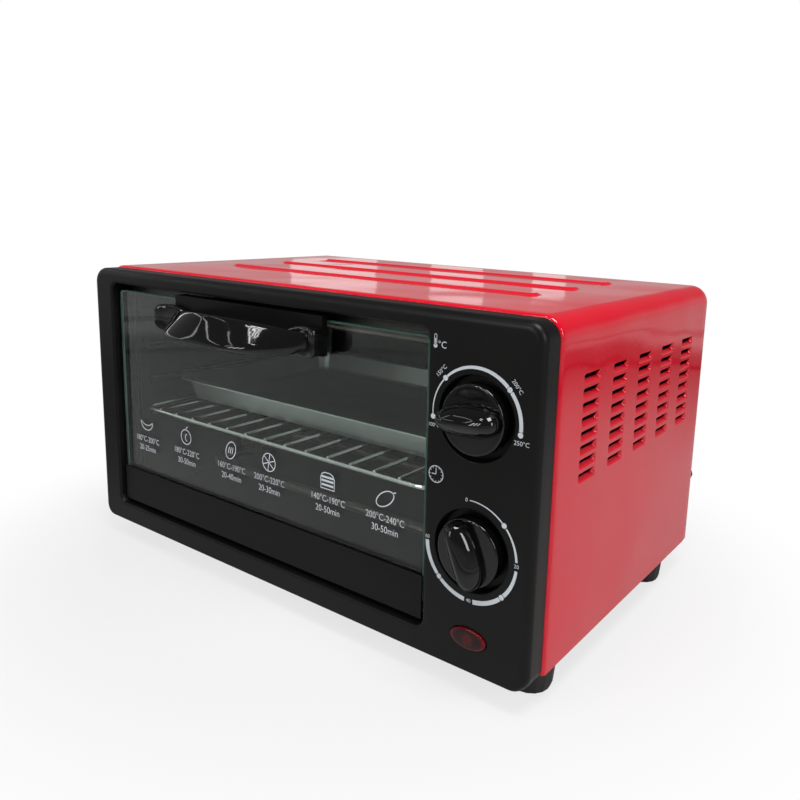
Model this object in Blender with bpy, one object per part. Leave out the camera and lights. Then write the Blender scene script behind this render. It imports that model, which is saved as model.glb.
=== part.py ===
"""Countertop oven with a drop-down glass door, two control knobs, a wire rack and a baking tray.

Metres, +Z up, +X to the right and -Y towards the person in front of the oven. The origin is under the
middle of the whole object, on the table. Places on the front are measured from the fascia's left and
lower edges, and depths from the fascia's front plane, as a fitter would measure them.
"""

import math

import bmesh
import bpy
import numpy as np

# Overall
FASCIA_WIDTH = 0.3600
FASCIA_HEIGHT = 0.1824
FASCIA_DEPTH = 0.0148
BODY_DEPTH = 0.2264
GROUND_CLEARANCE = 0.0140
SHELL_PROUD = 0.0012
HANDLE_REACH = 0.0350
SPACER_LENGTH = 0.0100
TOUCH_GAP = 0.0003
CUT_OVERRUN = 0.0010

# Fascia
FASCIA_CORNER = 0.0100
FASCIA_EDGE = 0.0045
FASCIA_WALL = 0.0025
OPENING_LEFT = 0.0210
CONTROL_PANEL_WIDTH = 0.0635
OPENING_WIDTH = FASCIA_WIDTH - OPENING_LEFT - CONTROL_PANEL_WIDTH
OPENING_BOTTOM = 0.0130
OPENING_BELOW_TOP = 0.0094
OPENING_HEIGHT = FASCIA_HEIGHT - OPENING_BOTTOM - OPENING_BELOW_TOP
OPENING_CORNER = 0.0060
OPENING_CHAMFER = 0.0015
COLLAR_DEPTH = 0.0140

# Controls on the fascia
DIAL_OFF_MIDDLE = 0.0011
DIAL_FROM_LEFT = FASCIA_WIDTH - FASCIA_EDGE - (CONTROL_PANEL_WIDTH - FASCIA_EDGE) / 2 - DIAL_OFF_MIDDLE
WELL_RADIUS = 0.0215
WELL_DEPTH = 0.0060
LAMP_BESIDE_DIALS = 0.0008
LAMP_FROM_LEFT = DIAL_FROM_LEFT + LAMP_BESIDE_DIALS
LAMP_UP = 0.0183
LAMP_HALF_WIDTH = 0.0108
LAMP_HALF_HEIGHT = 0.0058
DIAL_GAP_SHARES = (0.27, 0.31)
WELL_OUTER = WELL_RADIUS + FASCIA_WALL
PANEL_FREE_HEIGHT = FASCIA_HEIGHT - LAMP_UP - LAMP_HALF_HEIGHT - 4 * WELL_OUTER
TIMER_DIAL_UP = LAMP_UP + LAMP_HALF_HEIGHT + PANEL_FREE_HEIGHT * DIAL_GAP_SHARES[0] + WELL_OUTER
TEMPERATURE_DIAL_UP = TIMER_DIAL_UP + PANEL_FREE_HEIGHT * DIAL_GAP_SHARES[1] + 2 * WELL_OUTER
LENS_PROUD = 0.0008
LENS_CROWN = 0.0007
LAMP_BODY_WALL = 0.0020
LAMP_BODY_DEPTH = 0.0110

# Knobs and shafts
KNOB_RADIUS = 0.0177
KNOB_SKIRT_PROUD = 0.0035
KNOB_FLOOR_GAP = 0.0005
KNOB_EDGE = 0.0012
GRIP_HEIGHT = 0.0135
GRIP_HALF_LENGTH = 0.0170
GRIP_HALF_WIDTH = 0.0074
GRIP_SINK = 0.0010
GRIP_LEVEL_SHARES = (
    (0.0, 1.0, 1.0), (0.35, 0.98, 0.88), (0.65, 0.91, 0.68), (0.88, 0.76, 0.42), (1.0, 0.50, 0.16),
)
TEMPERATURE_REST_DEG = 187.0
TIMER_REST_DEG = 101.0
SHAFT_RADIUS = 0.0030
SHAFT_CLEARANCE = 0.0003
SHAFT_HOLE_RADIUS = 0.0042
SHAFT_IN_KNOB = 0.0120
SHAFT_IN_BODY = 0.0060

# Shell
SHELL_THICKNESS = 0.0010
SHELL_CORNER = 0.0115
SHELL_LEG_UP = 0.0040
SHELL_FLANGE = 0.0090
SHELL_ROLL = 0.0020
SHELL_REAR_ROUND = 0.0035
RIB_COUNT = 3
RIB_FIRST_BACK = 0.0860
RIB_FROM_REAR = 0.0414
RIB_PITCH = (BODY_DEPTH - RIB_FIRST_BACK - RIB_FROM_REAR) / (RIB_COUNT - 1)
RIB_FROM_SIDE = 0.0500
RIB_LENGTH = FASCIA_WIDTH - 2 * RIB_FROM_SIDE
RIB_WIDTH = 0.0130
RIB_HEIGHT = 0.0012
RIB_SLOPE = 0.0030
RIB_SINK = 0.0005

# Louvres on the right side
LOUVRE_COLUMNS = 5
LOUVRE_ROWS = 8
LOUVRE_FIRST_BACK = 0.0398
LOUVRE_FROM_REAR = 0.0263
LOUVRE_LENGTH = 0.0195
LOUVRE_ROW_WIDTH = BODY_DEPTH - LOUVRE_FIRST_BACK - LOUVRE_FROM_REAR - LOUVRE_LENGTH
LOUVRE_COLUMN_PITCH = LOUVRE_ROW_WIDTH / (LOUVRE_COLUMNS - 1)
LOUVRE_BELOW_TOP = 0.0292
LOUVRE_TOP_UP = FASCIA_HEIGHT - LOUVRE_BELOW_TOP
LOUVRE_ROW_PITCH = 0.0073
LOUVRE_HEIGHT = 0.0052
LOUVRE_DIP = 0.0034
LOUVRE_SCOOP = 0.0030
LOUVRE_LIP_THICKNESS = 0.0009

# Base pan, feet, rear cover
PAN_THICKNESS = 0.0010
PAN_FLANGE = 0.0110
PAN_VENT_COUNT = 6
PAN_VENT_LENGTH = 0.0360
PAN_VENT_WIDTH = 0.0035
PAN_VENT_PITCH = 0.0100
PAN_VENT_BACK = 0.0700
FOOT_FROM_SIDE = 0.0205
FOOT_FRONT_BACK = 0.0305
FOOT_FROM_REAR = 0.0414
FOOT_REAR_BACK = BODY_DEPTH - FOOT_FROM_REAR
FOOT_HALF_STRAIGHT = 0.0060
FOOT_TOP_RADIUS = 0.0135
FOOT_TAPER = 0.0015
FOOT_EDGE = 0.0035
REAR_SHEET = 0.0010
REAR_SCREW_IN = 0.0052
REAR_SCREW_LOW = 0.0300
REAR_SCREW_BELOW_TOP = 0.0224
REAR_SCREW_HIGH = FASCIA_HEIGHT - REAR_SCREW_BELOW_TOP
SCREW_SHANK_RADIUS = 0.0017
SCREW_HOLE_RADIUS = 0.0020
SCREW_HEAD_RADIUS = 0.0034
SCREW_HEAD_HEIGHT = 0.0020
SCREW_CROWN_SHARE = 0.8
REAR_SCREW_LENGTH = 0.0070
SPACER_RADIUS = 0.0045
SPACER_UP = 0.0490
SPACER_FROM_EDGE = 0.0018
SPACER_EDGE = 0.0012
REAR_VENT_COUNT = 9
REAR_VENT_LENGTH = 0.0400
REAR_VENT_HEIGHT = 0.0032
REAR_VENT_PITCH = 0.0070
REAR_VENT_LOW = 0.0850
REAR_VENT_FROM_LEFT = 0.1750
INLET_FROM_RIGHT = 0.0350
INLET_FROM_LEFT = FASCIA_WIDTH - INLET_FROM_RIGHT
INLET_UP = 0.0380
INLET_RADIUS = 0.0050
INLET_BORE = 0.0034
INLET_FLANGE_RADIUS = 0.0080
INLET_FLANGE = 0.0030
INLET_INSIDE = 0.0050

# Lining of the cavity
LINING = 0.0010
FRAME_SHEET = 0.0010
FRAME_WINDOW_INNER_MARGIN = 0.0019
FRAME_WINDOW_OUTER_MARGIN = 0.0041
FRAME_WINDOW_BELOW = 0.0177
FRAME_WINDOW_ABOVE = 0.0120
CAVITY_INSET_LEFT = 0.0050
CAVITY_LEFT = OPENING_LEFT + CAVITY_INSET_LEFT
CAVITY_INSET_RIGHT = 0.0080
CAVITY_RIGHT = OPENING_LEFT + OPENING_WIDTH - CAVITY_INSET_RIGHT
CAVITY_INSET_BOTTOM = 0.0070
CAVITY_BOTTOM = OPENING_BOTTOM + CAVITY_INSET_BOTTOM
CAVITY_INSET_TOP = 0.0070
CAVITY_TOP = OPENING_BOTTOM + OPENING_HEIGHT - CAVITY_INSET_TOP
CAVITY_FROM_REAR = 0.0144
CAVITY_BACK = BODY_DEPTH - CAVITY_FROM_REAR

# Heating elements
HEATER_RADIUS = 0.00325
HEATER_BEND = 0.0200
HEATER_FRONT_BACK = 0.0650
HEATER_FROM_REAR = 0.0714
HEATER_REAR_BACK = BODY_DEPTH - HEATER_FROM_REAR
HEATER_FROM_LEFT_WALL = 0.0140
HEATER_LEFT_END = CAVITY_LEFT + HEATER_FROM_LEFT_WALL
HEATER_BEYOND_WALL = 0.0105
HEATER_RIGHT_END = CAVITY_RIGHT + HEATER_BEYOND_WALL
HEATER_BELOW_ROOF = 0.0120
UPPER_HEATER_UP = CAVITY_TOP - HEATER_BELOW_ROOF
HEATER_ABOVE_FLOOR = 0.0140
LOWER_HEATER_UP = CAVITY_BOTTOM + HEATER_ABOVE_FLOOR
HEATER_CLEARANCE = 0.0003
BUSH_RADIUS = 0.0052
BUSH_FLANGE_RADIUS = 0.0080
BUSH_FLANGE = 0.0035
BUSH_INSIDE = 0.0050
CLIP_THICKNESS = 0.0016
CLIP_HALF_HEIGHT = 0.0070
CLIP_BEYOND = 0.0060
SHIELD_OFF_WALL = 0.0060
SHIELD_FROM_LEFT = CAVITY_RIGHT + SHIELD_OFF_WALL
SHIELD_THICKNESS = 0.0008
SHIELD_FRONT = 0.0240
SHIELD_FROM_REAR = 0.0264
SHIELD_BACK = BODY_DEPTH - SHIELD_FROM_REAR
SHIELD_TOP = CAVITY_TOP
SHIELD_HOLE = 0.0070

# Runners pressed in the side walls, measured down from the upper heating element
RUNNER_LEVELS = 3
RUNNER_BELOW_HEATER = 0.0258
RUNNER_PITCH = 0.0240
RUNNER_LOW = UPPER_HEATER_UP - RUNNER_BELOW_HEATER - RUNNER_PITCH * (RUNNER_LEVELS - 1)
RUNNER_DEPTH = 0.0042
RUNNER_HEIGHT = 0.0060
RUNNER_FRONT = 0.0260
RUNNER_FROM_BACK = 0.0210
RUNNER_LENGTH = CAVITY_BACK - RUNNER_FRONT - RUNNER_FROM_BACK

# Controls inside
BRACKET_INNER_MARGIN = 0.0004
BRACKET_OUTER_MARGIN = 0.0001
BRACKET_MARGIN = 0.0230
BRACKET_SHEET = 0.0010
THERMOSTAT_HALF = 0.0170
THERMOSTAT_DEPTH = 0.0220
TIMER_RADIUS = 0.0230
TIMER_DEPTH = 0.0340
BELL_RADIUS = 0.0200
BELL_DEPTH = 0.0100
BELL_SHARES = ((1.0, 0.0), (1.0, 0.33), (0.8, 0.8), (0.3, 1.0))
TERMINAL_FROM_LEFT = INLET_FROM_LEFT
TERMINAL_FROM_REAR = 0.0314
TERMINAL_BACK = BODY_DEPTH - TERMINAL_FROM_REAR
TERMINAL_LENGTH = 0.0240
TERMINAL_WIDTH = 0.0160
TERMINAL_HEIGHT = 0.0140
LEAD_RADIUS = 0.0013
LEAD_RISE = 0.0180
LEAD_STATIONS = 13

# Door
DOOR_SIDE_GAP = 0.0030
DOOR_BOTTOM_GAP = 0.0030
DOOR_TOP_GAP = 0.0050
RAIL_RECESS = 0.0030
RAIL_SHEET = 0.0010
RAIL_HEIGHT = 0.0245
RAIL_DEPTH = 0.0090
RAIL_FOOT = 0.0075
GLASS_THICKNESS = 0.0040
GLASS_CORNER = 0.0030
HINGE_BACK = 0.0070
HINGE_ABOVE_RAIL = 0.0042
HINGE_PIN_RADIUS = 0.0020
HINGE_PIN_CLEARANCE = 0.0003
HINGE_PIN_IN_RAIL = 0.0090
HINGE_PIN_BEYOND = 0.0060
HINGE_HOLE_CLEARANCE = 0.0010
HINGE_BRACKET_SHEET = 0.0015
HINGE_BRACKET_BELOW = 0.0082
HINGE_BRACKET_ABOVE = 0.0098
SPRING_RADIUS = 0.0040
SPRING_LENGTH = 0.0035

# Handle
TOP_PLATE_HALF_WIDTH = 0.0650
TOP_PLATE_ABOVE_GLASS = 0.0030
TOP_PLATE_HEIGHT = 0.0225
HANDLE_BEYOND_PLATE = 0.0110
HANDLE_HALF_LENGTH = TOP_PLATE_HALF_WIDTH + HANDLE_BEYOND_PLATE
PAD_HEIGHT = 0.0180
PAD_FOOT_BELOW = 0.0210
PAD_LENGTH = 0.0260
PAD_DEPTH = 0.0090
PAD_CORNER = 0.0020
PAD_RIGHT_INSET = 0.0080
PAD_STATION_SHARES = (
    (0.0, 0.33, 0.33, 0.83), (0.23, 0.50, 0.11, 0.94), (0.46, 0.56, 0.0, 1.0), (0.70, 0.72, 0.03, 1.0),
    (0.88, 1.0, 0.12, 0.97), (0.97, 0.95, 0.22, 0.92), (1.0, 0.80, 0.32, 0.86),
)
BAR_LOW_INSIDE_PLATE = 0.0024
BAR_LOW_HALF = TOP_PLATE_HALF_WIDTH - BAR_LOW_INSIDE_PLATE
BAR_LOW_END_BELOW = 0.0141
BAR_LOW_MID_BELOW = 0.0162
BAR_LOW_POWER = 3.2
BAR_HIGH_HALF = TOP_PLATE_HALF_WIDTH
BAR_HIGH_MID_REACH = 0.0275
BAR_HIGH_END_BELOW = 0.0078
BAR_HIGH_MID_BELOW = -0.0003
BAR_HIGH_POWER = 1.5
BAR_RISE_POWER = 2.0
BAR_END_REACH = 0.0015
BAR_THICKNESS = 0.0062
BAR_BEVEL = 0.0012
BAR_STATIONS = 15
BACKING_SHEET = 0.0010
BACKING_HEIGHT = 0.0140
HANDLE_SCREW_FROM_END = 0.0060
HANDLE_SCREW_BELOW = 0.0110
HANDLE_SCREW_IN_PAD = 0.0032

# Rack and tray
RACK_WIRE = 0.0016
RACK_CROSS_WIRE = 0.0011
RACK_SIDE_GAP = 0.0012
RACK_FRONT = 0.0180
RACK_FROM_BACK = 0.0070
RACK_BACK = CAVITY_BACK - RACK_FROM_BACK
RACK_CORNER = 0.0080
RACK_CROSS_COUNT = 13
RACK_END_SPACE = 0.02145
RACK_CROSS_RISE = 0.0013
TRAY_SIDE_GAP = 0.0012
TRAY_FRONT = 0.0430
TRAY_FROM_RACK_END = 0.0070
TRAY_BACK = RACK_BACK - TRAY_FROM_RACK_END
TRAY_HEIGHT = 0.0167
TRAY_SHEET = 0.0010
TRAY_RIM = 0.0050
TRAY_DRAFT = 0.0030
TRAY_CORNER = 0.0130
TRAY_FLOOR_ROUND = 0.0040

# Fineness of round shapes
CORNER_STEPS = 4
ROUND_SIDES = 20
SMALL_SIDES = 10
WIRE_SIDES = 6

# Reference planes worked out from the sizes above
LEFT = -FASCIA_WIDTH / 2
FASCIA_LOW = GROUND_CLEARANCE
FASCIA_HIGH = FASCIA_LOW + FASCIA_HEIGHT
FRONT = (HANDLE_REACH - BODY_DEPTH - SPACER_LENGTH) / 2
FASCIA_BACK = FRONT + FASCIA_DEPTH
REAR = FRONT + BODY_DEPTH


def across(from_left):
    """World X of a place measured from the fascia's left edge."""
    return LEFT + from_left


def up(height):
    """World Z of a place measured from the fascia's lower edge."""
    return FASCIA_LOW + height


def back(depth):
    """World Y of a place measured back from the fascia's front plane."""
    return FRONT + depth


def below_top(drop):
    """World Z of a place measured down from the upper edge of the door's pane."""
    return DOOR_HIGH - drop


def clear_scene():
    for item in list(bpy.data.objects):
        bpy.data.objects.remove(item, do_unlink=True)


def principled(name, colour, roughness, metallic=0.0, alpha=1.0):
    made = bpy.data.materials.new(name)
    made.use_nodes = True
    shader = made.node_tree.nodes["Principled BSDF"]
    shader.inputs["Base Color"].default_value = (*colour, 1.0)
    shader.inputs["Roughness"].default_value = roughness
    shader.inputs["Metallic"].default_value = metallic
    shader.inputs["Alpha"].default_value = alpha
    return made


def pivot(name, place):
    """An empty on a joint's axis, which carries the pieces that move with it."""
    made = bpy.data.objects.new(name, None)
    made.location = place
    bpy.context.scene.collection.objects.link(made)
    return made


def solid(name, points, faces, finish=None, carrier=None):
    """A closed mesh object from world points. Its mesh is relative to the pivot that carries it.

    Faces are split into triangles, because a cut needs flat faces and a quad of a bowed loft is twisted.
    """
    start = np.array(carrier.location) if carrier else np.zeros(3)
    shape = bmesh.new()
    corners = [shape.verts.new(point) for point in np.asarray(points, float) - start]
    for face in faces:
        shape.faces.new([corners[index] for index in face])
    bmesh.ops.recalc_face_normals(shape, faces=shape.faces)
    bmesh.ops.triangulate(shape, faces=shape.faces)
    mesh = bpy.data.meshes.new(name)
    shape.to_mesh(mesh)
    shape.free()
    made = bpy.data.objects.new(name, mesh)
    bpy.context.scene.collection.objects.link(made)
    if carrier:
        made.parent = carrier
    if finish:
        mesh.materials.append(finish)
        mesh.shade_smooth()
        mesh.set_sharp_from_angle(angle=math.radians(35))
    else:
        made.hide_render = True
        made.display_type = "WIRE"
    return made


def lofted(name, rings, finish=None, carrier=None, looped=False):
    """A skin through rings of equally many points, capped at both ends unless the rings form a loop."""
    rings = [np.asarray(ring, float) for ring in rings]
    count = len(rings[0])
    joints = len(rings) if looped else len(rings) - 1
    faces = []
    for level in range(joints):
        here = level * count
        there = (level + 1) % len(rings) * count
        for side in range(count):
            beside = (side + 1) % count
            faces.append((here + side, here + beside, there + beside, there + side))
    if not looped:
        faces.append(tuple(range(count)))
        faces.append(tuple(range((len(rings) - 1) * count, len(rings) * count)))
    return solid(name, np.concatenate(rings), faces, finish, carrier)


def merged(name, pieces, finish=None, carrier=None):
    """One object from several lofts given as lists of rings, for a pattern of cutters or joined shapes."""
    points, faces, start = [], [], 0
    for rings in pieces:
        count = len(rings[0])
        for level in range(len(rings) - 1):
            low = start + level * count
            for side in range(count):
                beside = (side + 1) % count
                faces.append((low + side, low + beside, low + count + beside, low + count + side))
        faces.append(tuple(range(start, start + count)))
        faces.append(tuple(range(start + (len(rings) - 1) * count, start + len(rings) * count)))
        points.extend(np.concatenate([np.asarray(ring, float) for ring in rings]))
        start += len(rings) * count
    return solid(name, points, faces, finish, carrier)


def rounded(x0, x1, z0, z1, radius, steps=CORNER_STEPS):
    """Corner points of a rectangle with round corners, anticlockwise."""
    corners = ((x1, z1, 0), (x0, z1, 90), (x0, z0, 180), (x1, z0, 270))
    points = []
    for x, z, start in corners:
        centre_x = x - math.copysign(radius, x - (x0 + x1) / 2)
        centre_z = z - math.copysign(radius, z - (z0 + z1) / 2)
        for step in range(steps + 1):
            angle = math.radians(start + 90 * step / steps)
            points.append((centre_x + radius * math.cos(angle), centre_z + radius * math.sin(angle)))
    return np.array(points)


def oval(x, z, half_width, half_height, sides=ROUND_SIDES):
    angle = np.arange(sides) * math.tau / sides
    return np.stack([x + half_width * np.cos(angle), z + half_height * np.sin(angle)], axis=1)


def facing_y(outline, y):
    """An outline of X and Z set upright at depth Y."""
    outline = np.asarray(outline, float)
    return np.stack([outline[:, 0], np.full(len(outline), y), outline[:, 1]], axis=1)


def facing_x(outline, x):
    """An outline of Y and Z set upright across X."""
    outline = np.asarray(outline, float)
    return np.stack([np.full(len(outline), x), outline[:, 0], outline[:, 1]], axis=1)


def facing_z(outline, z):
    """An outline of X and Y laid flat at height Z."""
    outline = np.asarray(outline, float)
    return np.stack([outline[:, 0], outline[:, 1], np.full(len(outline), z)], axis=1)


def block(x0, x1, y0, y1, z0, z1):
    """The two rings of a box."""
    outline = ((x0, y0), (x1, y0), (x1, y1), (x0, y1))
    return [facing_z(outline, z0), facing_z(outline, z1)]


def turned_y(x, z, stations, sides=SMALL_SIDES):
    """Rings of a turned piece along Y from its radius at each depth."""
    return [facing_y(oval(x, z, radius, radius, sides), y) for radius, y in stations]


def turned_x(y, z, stations, sides=SMALL_SIDES):
    """Rings of a turned piece along X from its radius at each X."""
    return [facing_x(oval(y, z, radius, radius, sides), x) for radius, x in stations]


def rod_y(x, z, radius, y0, y1, sides=SMALL_SIDES):
    return turned_y(x, z, ((radius, y0), (radius, y1)), sides)


def rod_x(y, z, radius, x0, x1, sides=SMALL_SIDES):
    return turned_x(y, z, ((radius, x0), (radius, x1)), sides)


def boolean(target, other, operation):
    step = target.modifiers.new(other.name, "BOOLEAN")
    step.operation = operation
    step.object = other
    step.solver = "EXACT"


def cut(target, name, pieces):
    boolean(target, merged(name, pieces), "DIFFERENCE")


def join(target, name, pieces):
    boolean(target, merged(name, pieces), "UNION")


def swept(path, radius, sides, looped=False):
    """Rings of a round wire along a path that lies level, as most wires and elements here do."""
    path = np.asarray(path, float)
    if looped:
        ahead = np.roll(path, -1, axis=0) - np.roll(path, 1, axis=0)
    else:
        ahead = np.gradient(path, axis=0)
    ahead /= np.linalg.norm(ahead, axis=1)[:, None]
    side = np.stack([-ahead[:, 1], ahead[:, 0], np.zeros(len(path))], axis=1)
    side /= np.linalg.norm(side, axis=1)[:, None]
    rise = np.cross(ahead, side)
    angle = np.arange(sides) * math.tau / sides
    rings = []
    for point, outwards, above in zip(path, side, rise):
        rings.append(point + radius * (np.cos(angle)[:, None] * outwards + np.sin(angle)[:, None] * above))
    return rings


def make_fascia():
    finish = principled("satin_black_plastic", (0.016, 0.016, 0.016), 0.45)
    rings = []
    for step in range(CORNER_STEPS):
        angle = math.radians(90 * step / (CORNER_STEPS - 1))
        inset = FASCIA_EDGE * (1 - math.sin(angle))
        depth = FASCIA_EDGE * (1 - math.cos(angle))
        rings.append(fascia_outline(inset, depth))
    rings.append(fascia_outline(0, FASCIA_DEPTH))
    fascia = lofted("fascia", rings, finish)
    hollow_end = FASCIA_DEPTH + CUT_OVERRUN
    hollow = [fascia_outline(FASCIA_WALL, FASCIA_WALL), fascia_outline(FASCIA_WALL, hollow_end)]
    cut(fascia, "fascia_hollow", [hollow])
    root = FASCIA_WALL / 2
    collar = [opening_outline(FASCIA_WALL, root), opening_outline(FASCIA_WALL, COLLAR_DEPTH)]
    join(fascia, "door_collar", [collar])
    wells, recesses, holes = [], [], []
    for dial in (TEMPERATURE_DIAL_UP, TIMER_DIAL_UP):
        x, z = across(DIAL_FROM_LEFT), up(dial)
        start, end = back(root), WELL_DEPTH + FASCIA_WALL
        wells.append(rod_y(x, z, WELL_OUTER, start, back(end), ROUND_SIDES))
        recesses.append(rod_y(x, z, WELL_RADIUS, back(-CUT_OVERRUN), back(WELL_DEPTH), ROUND_SIDES))
        holes.append(rod_y(x, z, SHAFT_HOLE_RADIUS, start, back(end + CUT_OVERRUN)))
    join(fascia, "knob_wells", wells)
    cut(fascia, "well_recesses", recesses)
    cut(fascia, "shaft_holes", holes)
    opening = [opening_outline(OPENING_CHAMFER, -CUT_OVERRUN), opening_outline(OPENING_CHAMFER, 0),
               opening_outline(0, OPENING_CHAMFER), opening_outline(0, FASCIA_DEPTH + CUT_OVERRUN)]
    cut(fascia, "door_opening", [opening])
    lamp = oval(across(LAMP_FROM_LEFT), up(LAMP_UP), LAMP_HALF_WIDTH, LAMP_HALF_HEIGHT)
    cut(fascia, "lamp_opening", [[facing_y(lamp, back(-CUT_OVERRUN)), facing_y(lamp, back(FASCIA_DEPTH))]])
    left_side = across(OPENING_LEFT - FASCIA_WALL - CUT_OVERRUN)
    right_side = across(OPENING_LEFT + OPENING_WIDTH + FASCIA_WALL + CUT_OVERRUN)
    pin_hole = HINGE_PIN_RADIUS + HINGE_HOLE_CLEARANCE
    cut(fascia, "pin_holes", [rod_x(HINGE_Y, HINGE_Z, pin_hole, left_side, right_side)])


def fascia_outline(inset, depth):
    radius = FASCIA_CORNER - inset
    outline = rounded(LEFT + inset, -LEFT - inset, FASCIA_LOW + inset, FASCIA_HIGH - inset, radius)
    return facing_y(outline, back(depth))


def opening_outline(grow, depth):
    low, high = up(OPENING_BOTTOM) - grow, up(OPENING_BOTTOM + OPENING_HEIGHT) + grow
    left = across(OPENING_LEFT) - grow
    right = across(OPENING_LEFT + OPENING_WIDTH) + grow
    return facing_y(rounded(left, right, low, high, OPENING_CORNER + grow), back(depth))


def make_lamp():
    x, z = across(LAMP_FROM_LEFT), up(LAMP_UP)
    half_width, half_height = LAMP_HALF_WIDTH - TOUCH_GAP, LAMP_HALF_HEIGHT - TOUCH_GAP
    crowned = LENS_CROWN
    rings = [
        facing_y(oval(x, z, half_width, half_height), back(FASCIA_WALL)),
        facing_y(oval(x, z, half_width, half_height), back(-LENS_PROUD)),
        facing_y(oval(x, z, half_width - crowned, half_height - crowned), back(-LENS_PROUD - crowned)),
    ]
    lofted("lamp_lens", rings, principled("red_lens", (0.30, 0.004, 0.008), 0.15))
    body = oval(x, z, LAMP_HALF_WIDTH + LAMP_BODY_WALL, LAMP_HALF_HEIGHT + LAMP_BODY_WALL)
    near, far = back(FASCIA_WALL + TOUCH_GAP), back(FASCIA_WALL + LAMP_BODY_DEPTH)
    nylon = principled("lamp_nylon", (0.6, 0.6, 0.56), 0.5)
    lofted("lamp_housing", [facing_y(body, near), facing_y(body, far)], nylon)


def make_knob(name, dial, rest_degrees, shaft_name, carrier, body_face):
    """A skirted disc with a boat-shaped grip, and the shaft that turns with it."""
    x, z = across(DIAL_FROM_LEFT), up(dial)
    finish = principled(name + "_gloss_black", (0.012, 0.012, 0.012), 0.12)
    rear, face = back(WELL_DEPTH - KNOB_FLOOR_GAP), back(-KNOB_SKIRT_PROUD)
    skirt = ((KNOB_RADIUS, rear), (KNOB_RADIUS, face + KNOB_EDGE), (KNOB_RADIUS - KNOB_EDGE, face))
    knob = lofted(name, turned_y(x, z, skirt, ROUND_SIDES), finish, carrier)
    grip = []
    for height_share, length_share, width_share in GRIP_LEVEL_SHARES:
        length, width = GRIP_HALF_LENGTH * length_share, GRIP_HALF_WIDTH * width_share
        outline = turned_oval(length, width, rest_degrees) + (x, z)
        grip.append(facing_y(outline, face + GRIP_SINK - (GRIP_HEIGHT + GRIP_SINK) * height_share))
    boolean(knob, merged(name + "_grip", [grip]), "UNION")
    bore_end = rear - SHAFT_IN_KNOB
    bore = rod_y(x, z, SHAFT_RADIUS + SHAFT_CLEARANCE, bore_end, rear + CUT_OVERRUN)
    cut(knob, name + "_bore", [bore])
    shaft_end = body_face + SHAFT_IN_BODY - TOUCH_GAP
    shaft = rod_y(x, z, SHAFT_RADIUS, bore_end + TOUCH_GAP, shaft_end)
    steel = principled(shaft_name + "_steel", (0.55, 0.55, 0.55), 0.35, 1.0)
    lofted(shaft_name, shaft, steel, carrier)


def turned_oval(half_length, half_width, degrees):
    """An oval turned to the given direction."""
    angle = np.arange(ROUND_SIDES) * math.tau / ROUND_SIDES
    along = half_length * np.cos(angle)
    beside = half_width * np.sin(angle)
    turn = math.radians(degrees)
    return np.stack([along * math.cos(turn) - beside * math.sin(turn),
                     along * math.sin(turn) + beside * math.cos(turn)], axis=1)


def make_shell():
    finish = principled("red_powder_coat", (0.50, 0.005, 0.022), 0.18)
    front, rear = FASCIA_BACK + TOUCH_GAP, REAR
    sheet, flange, roll = SHELL_THICKNESS, SHELL_FLANGE, SHELL_ROLL
    round_off = SHELL_REAR_ROUND
    stations = (
        (front, roll, flange, 0),
        (front + sheet, roll / 2, flange, 0),
        (front + sheet + TOUCH_GAP, roll / 2, sheet + roll / 2, 0),
        (front + sheet + roll, 0, sheet, 0),
        (rear - round_off, 0, sheet, 0),
        (rear - round_off / 3, 0, sheet, round_off / 4),
        (rear - sheet - TOUCH_GAP, 0, sheet, round_off / 3),
        (rear - sheet, 0, flange, round_off / 2),
        (rear, sheet / 2, flange, round_off),
    )
    rings = [shell_outline(y, outer, inner, raised) for y, outer, inner, raised in stations]
    shell = lofted("shell", rings, finish)
    ribs = []
    for number in range(RIB_COUNT):
        y = back(RIB_FIRST_BACK + RIB_PITCH * number)
        half_length, half_width = RIB_LENGTH / 2, RIB_WIDTH / 2
        rings = []
        for inset, z in ((0, SHELL_TOP - RIB_SINK), (0, SHELL_TOP), (RIB_SLOPE, SHELL_TOP + RIB_HEIGHT)):
            outline = rounded(-half_length + inset, half_length - inset, y - half_width + inset,
                              y + half_width - inset, half_width - inset, 3)
            rings.append(facing_z(outline, z))
        ribs.append(rings)
    join(shell, "top_ribs", ribs)
    slots, lips = [], []
    side = SHELL_SIDE
    for column in range(LOUVRE_COLUMNS):
        y = back(LOUVRE_FIRST_BACK + LOUVRE_COLUMN_PITCH * column)
        for row in range(LOUVRE_ROWS):
            high = up(LOUVRE_TOP_UP - LOUVRE_ROW_PITCH * row)
            low = high - LOUVRE_HEIGHT
            inner, outer = side - sheet - CUT_OVERRUN, side + CUT_OVERRUN
            slots.append(block(inner, outer, y, y + LOUVRE_LENGTH, low, high))
            lips.append(louvre_lip(side, y, low))
    cut(shell, "louvre_slots", slots)
    join(shell, "louvre_lips", lips)
    holes = [rod_y(x, z, SCREW_HOLE_RADIUS, rear - sheet - CUT_OVERRUN, rear + CUT_OVERRUN)
             for x, z in REAR_SCREW_PLACES]
    cut(shell, "rear_flange_holes", holes)


def louvre_lip(side, y, low):
    """The scooped sheet of one louvre: it leans inwards from the slot's lower edge."""
    thick = LOUVRE_LIP_THICKNESS
    root, tip, high = side - SHELL_THICKNESS / 2, side - LOUVRE_DIP, low + LOUVRE_SCOOP
    profile = ((root, low - thick), (root, low + TOUCH_GAP), (tip, high), (tip - thick, high - thick))
    margin = TOUCH_GAP
    rings = []
    for place in (y + margin, y + LOUVRE_LENGTH - margin):
        rings.append(np.array([(x, place, z) for x, z in profile]))
    return rings


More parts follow.
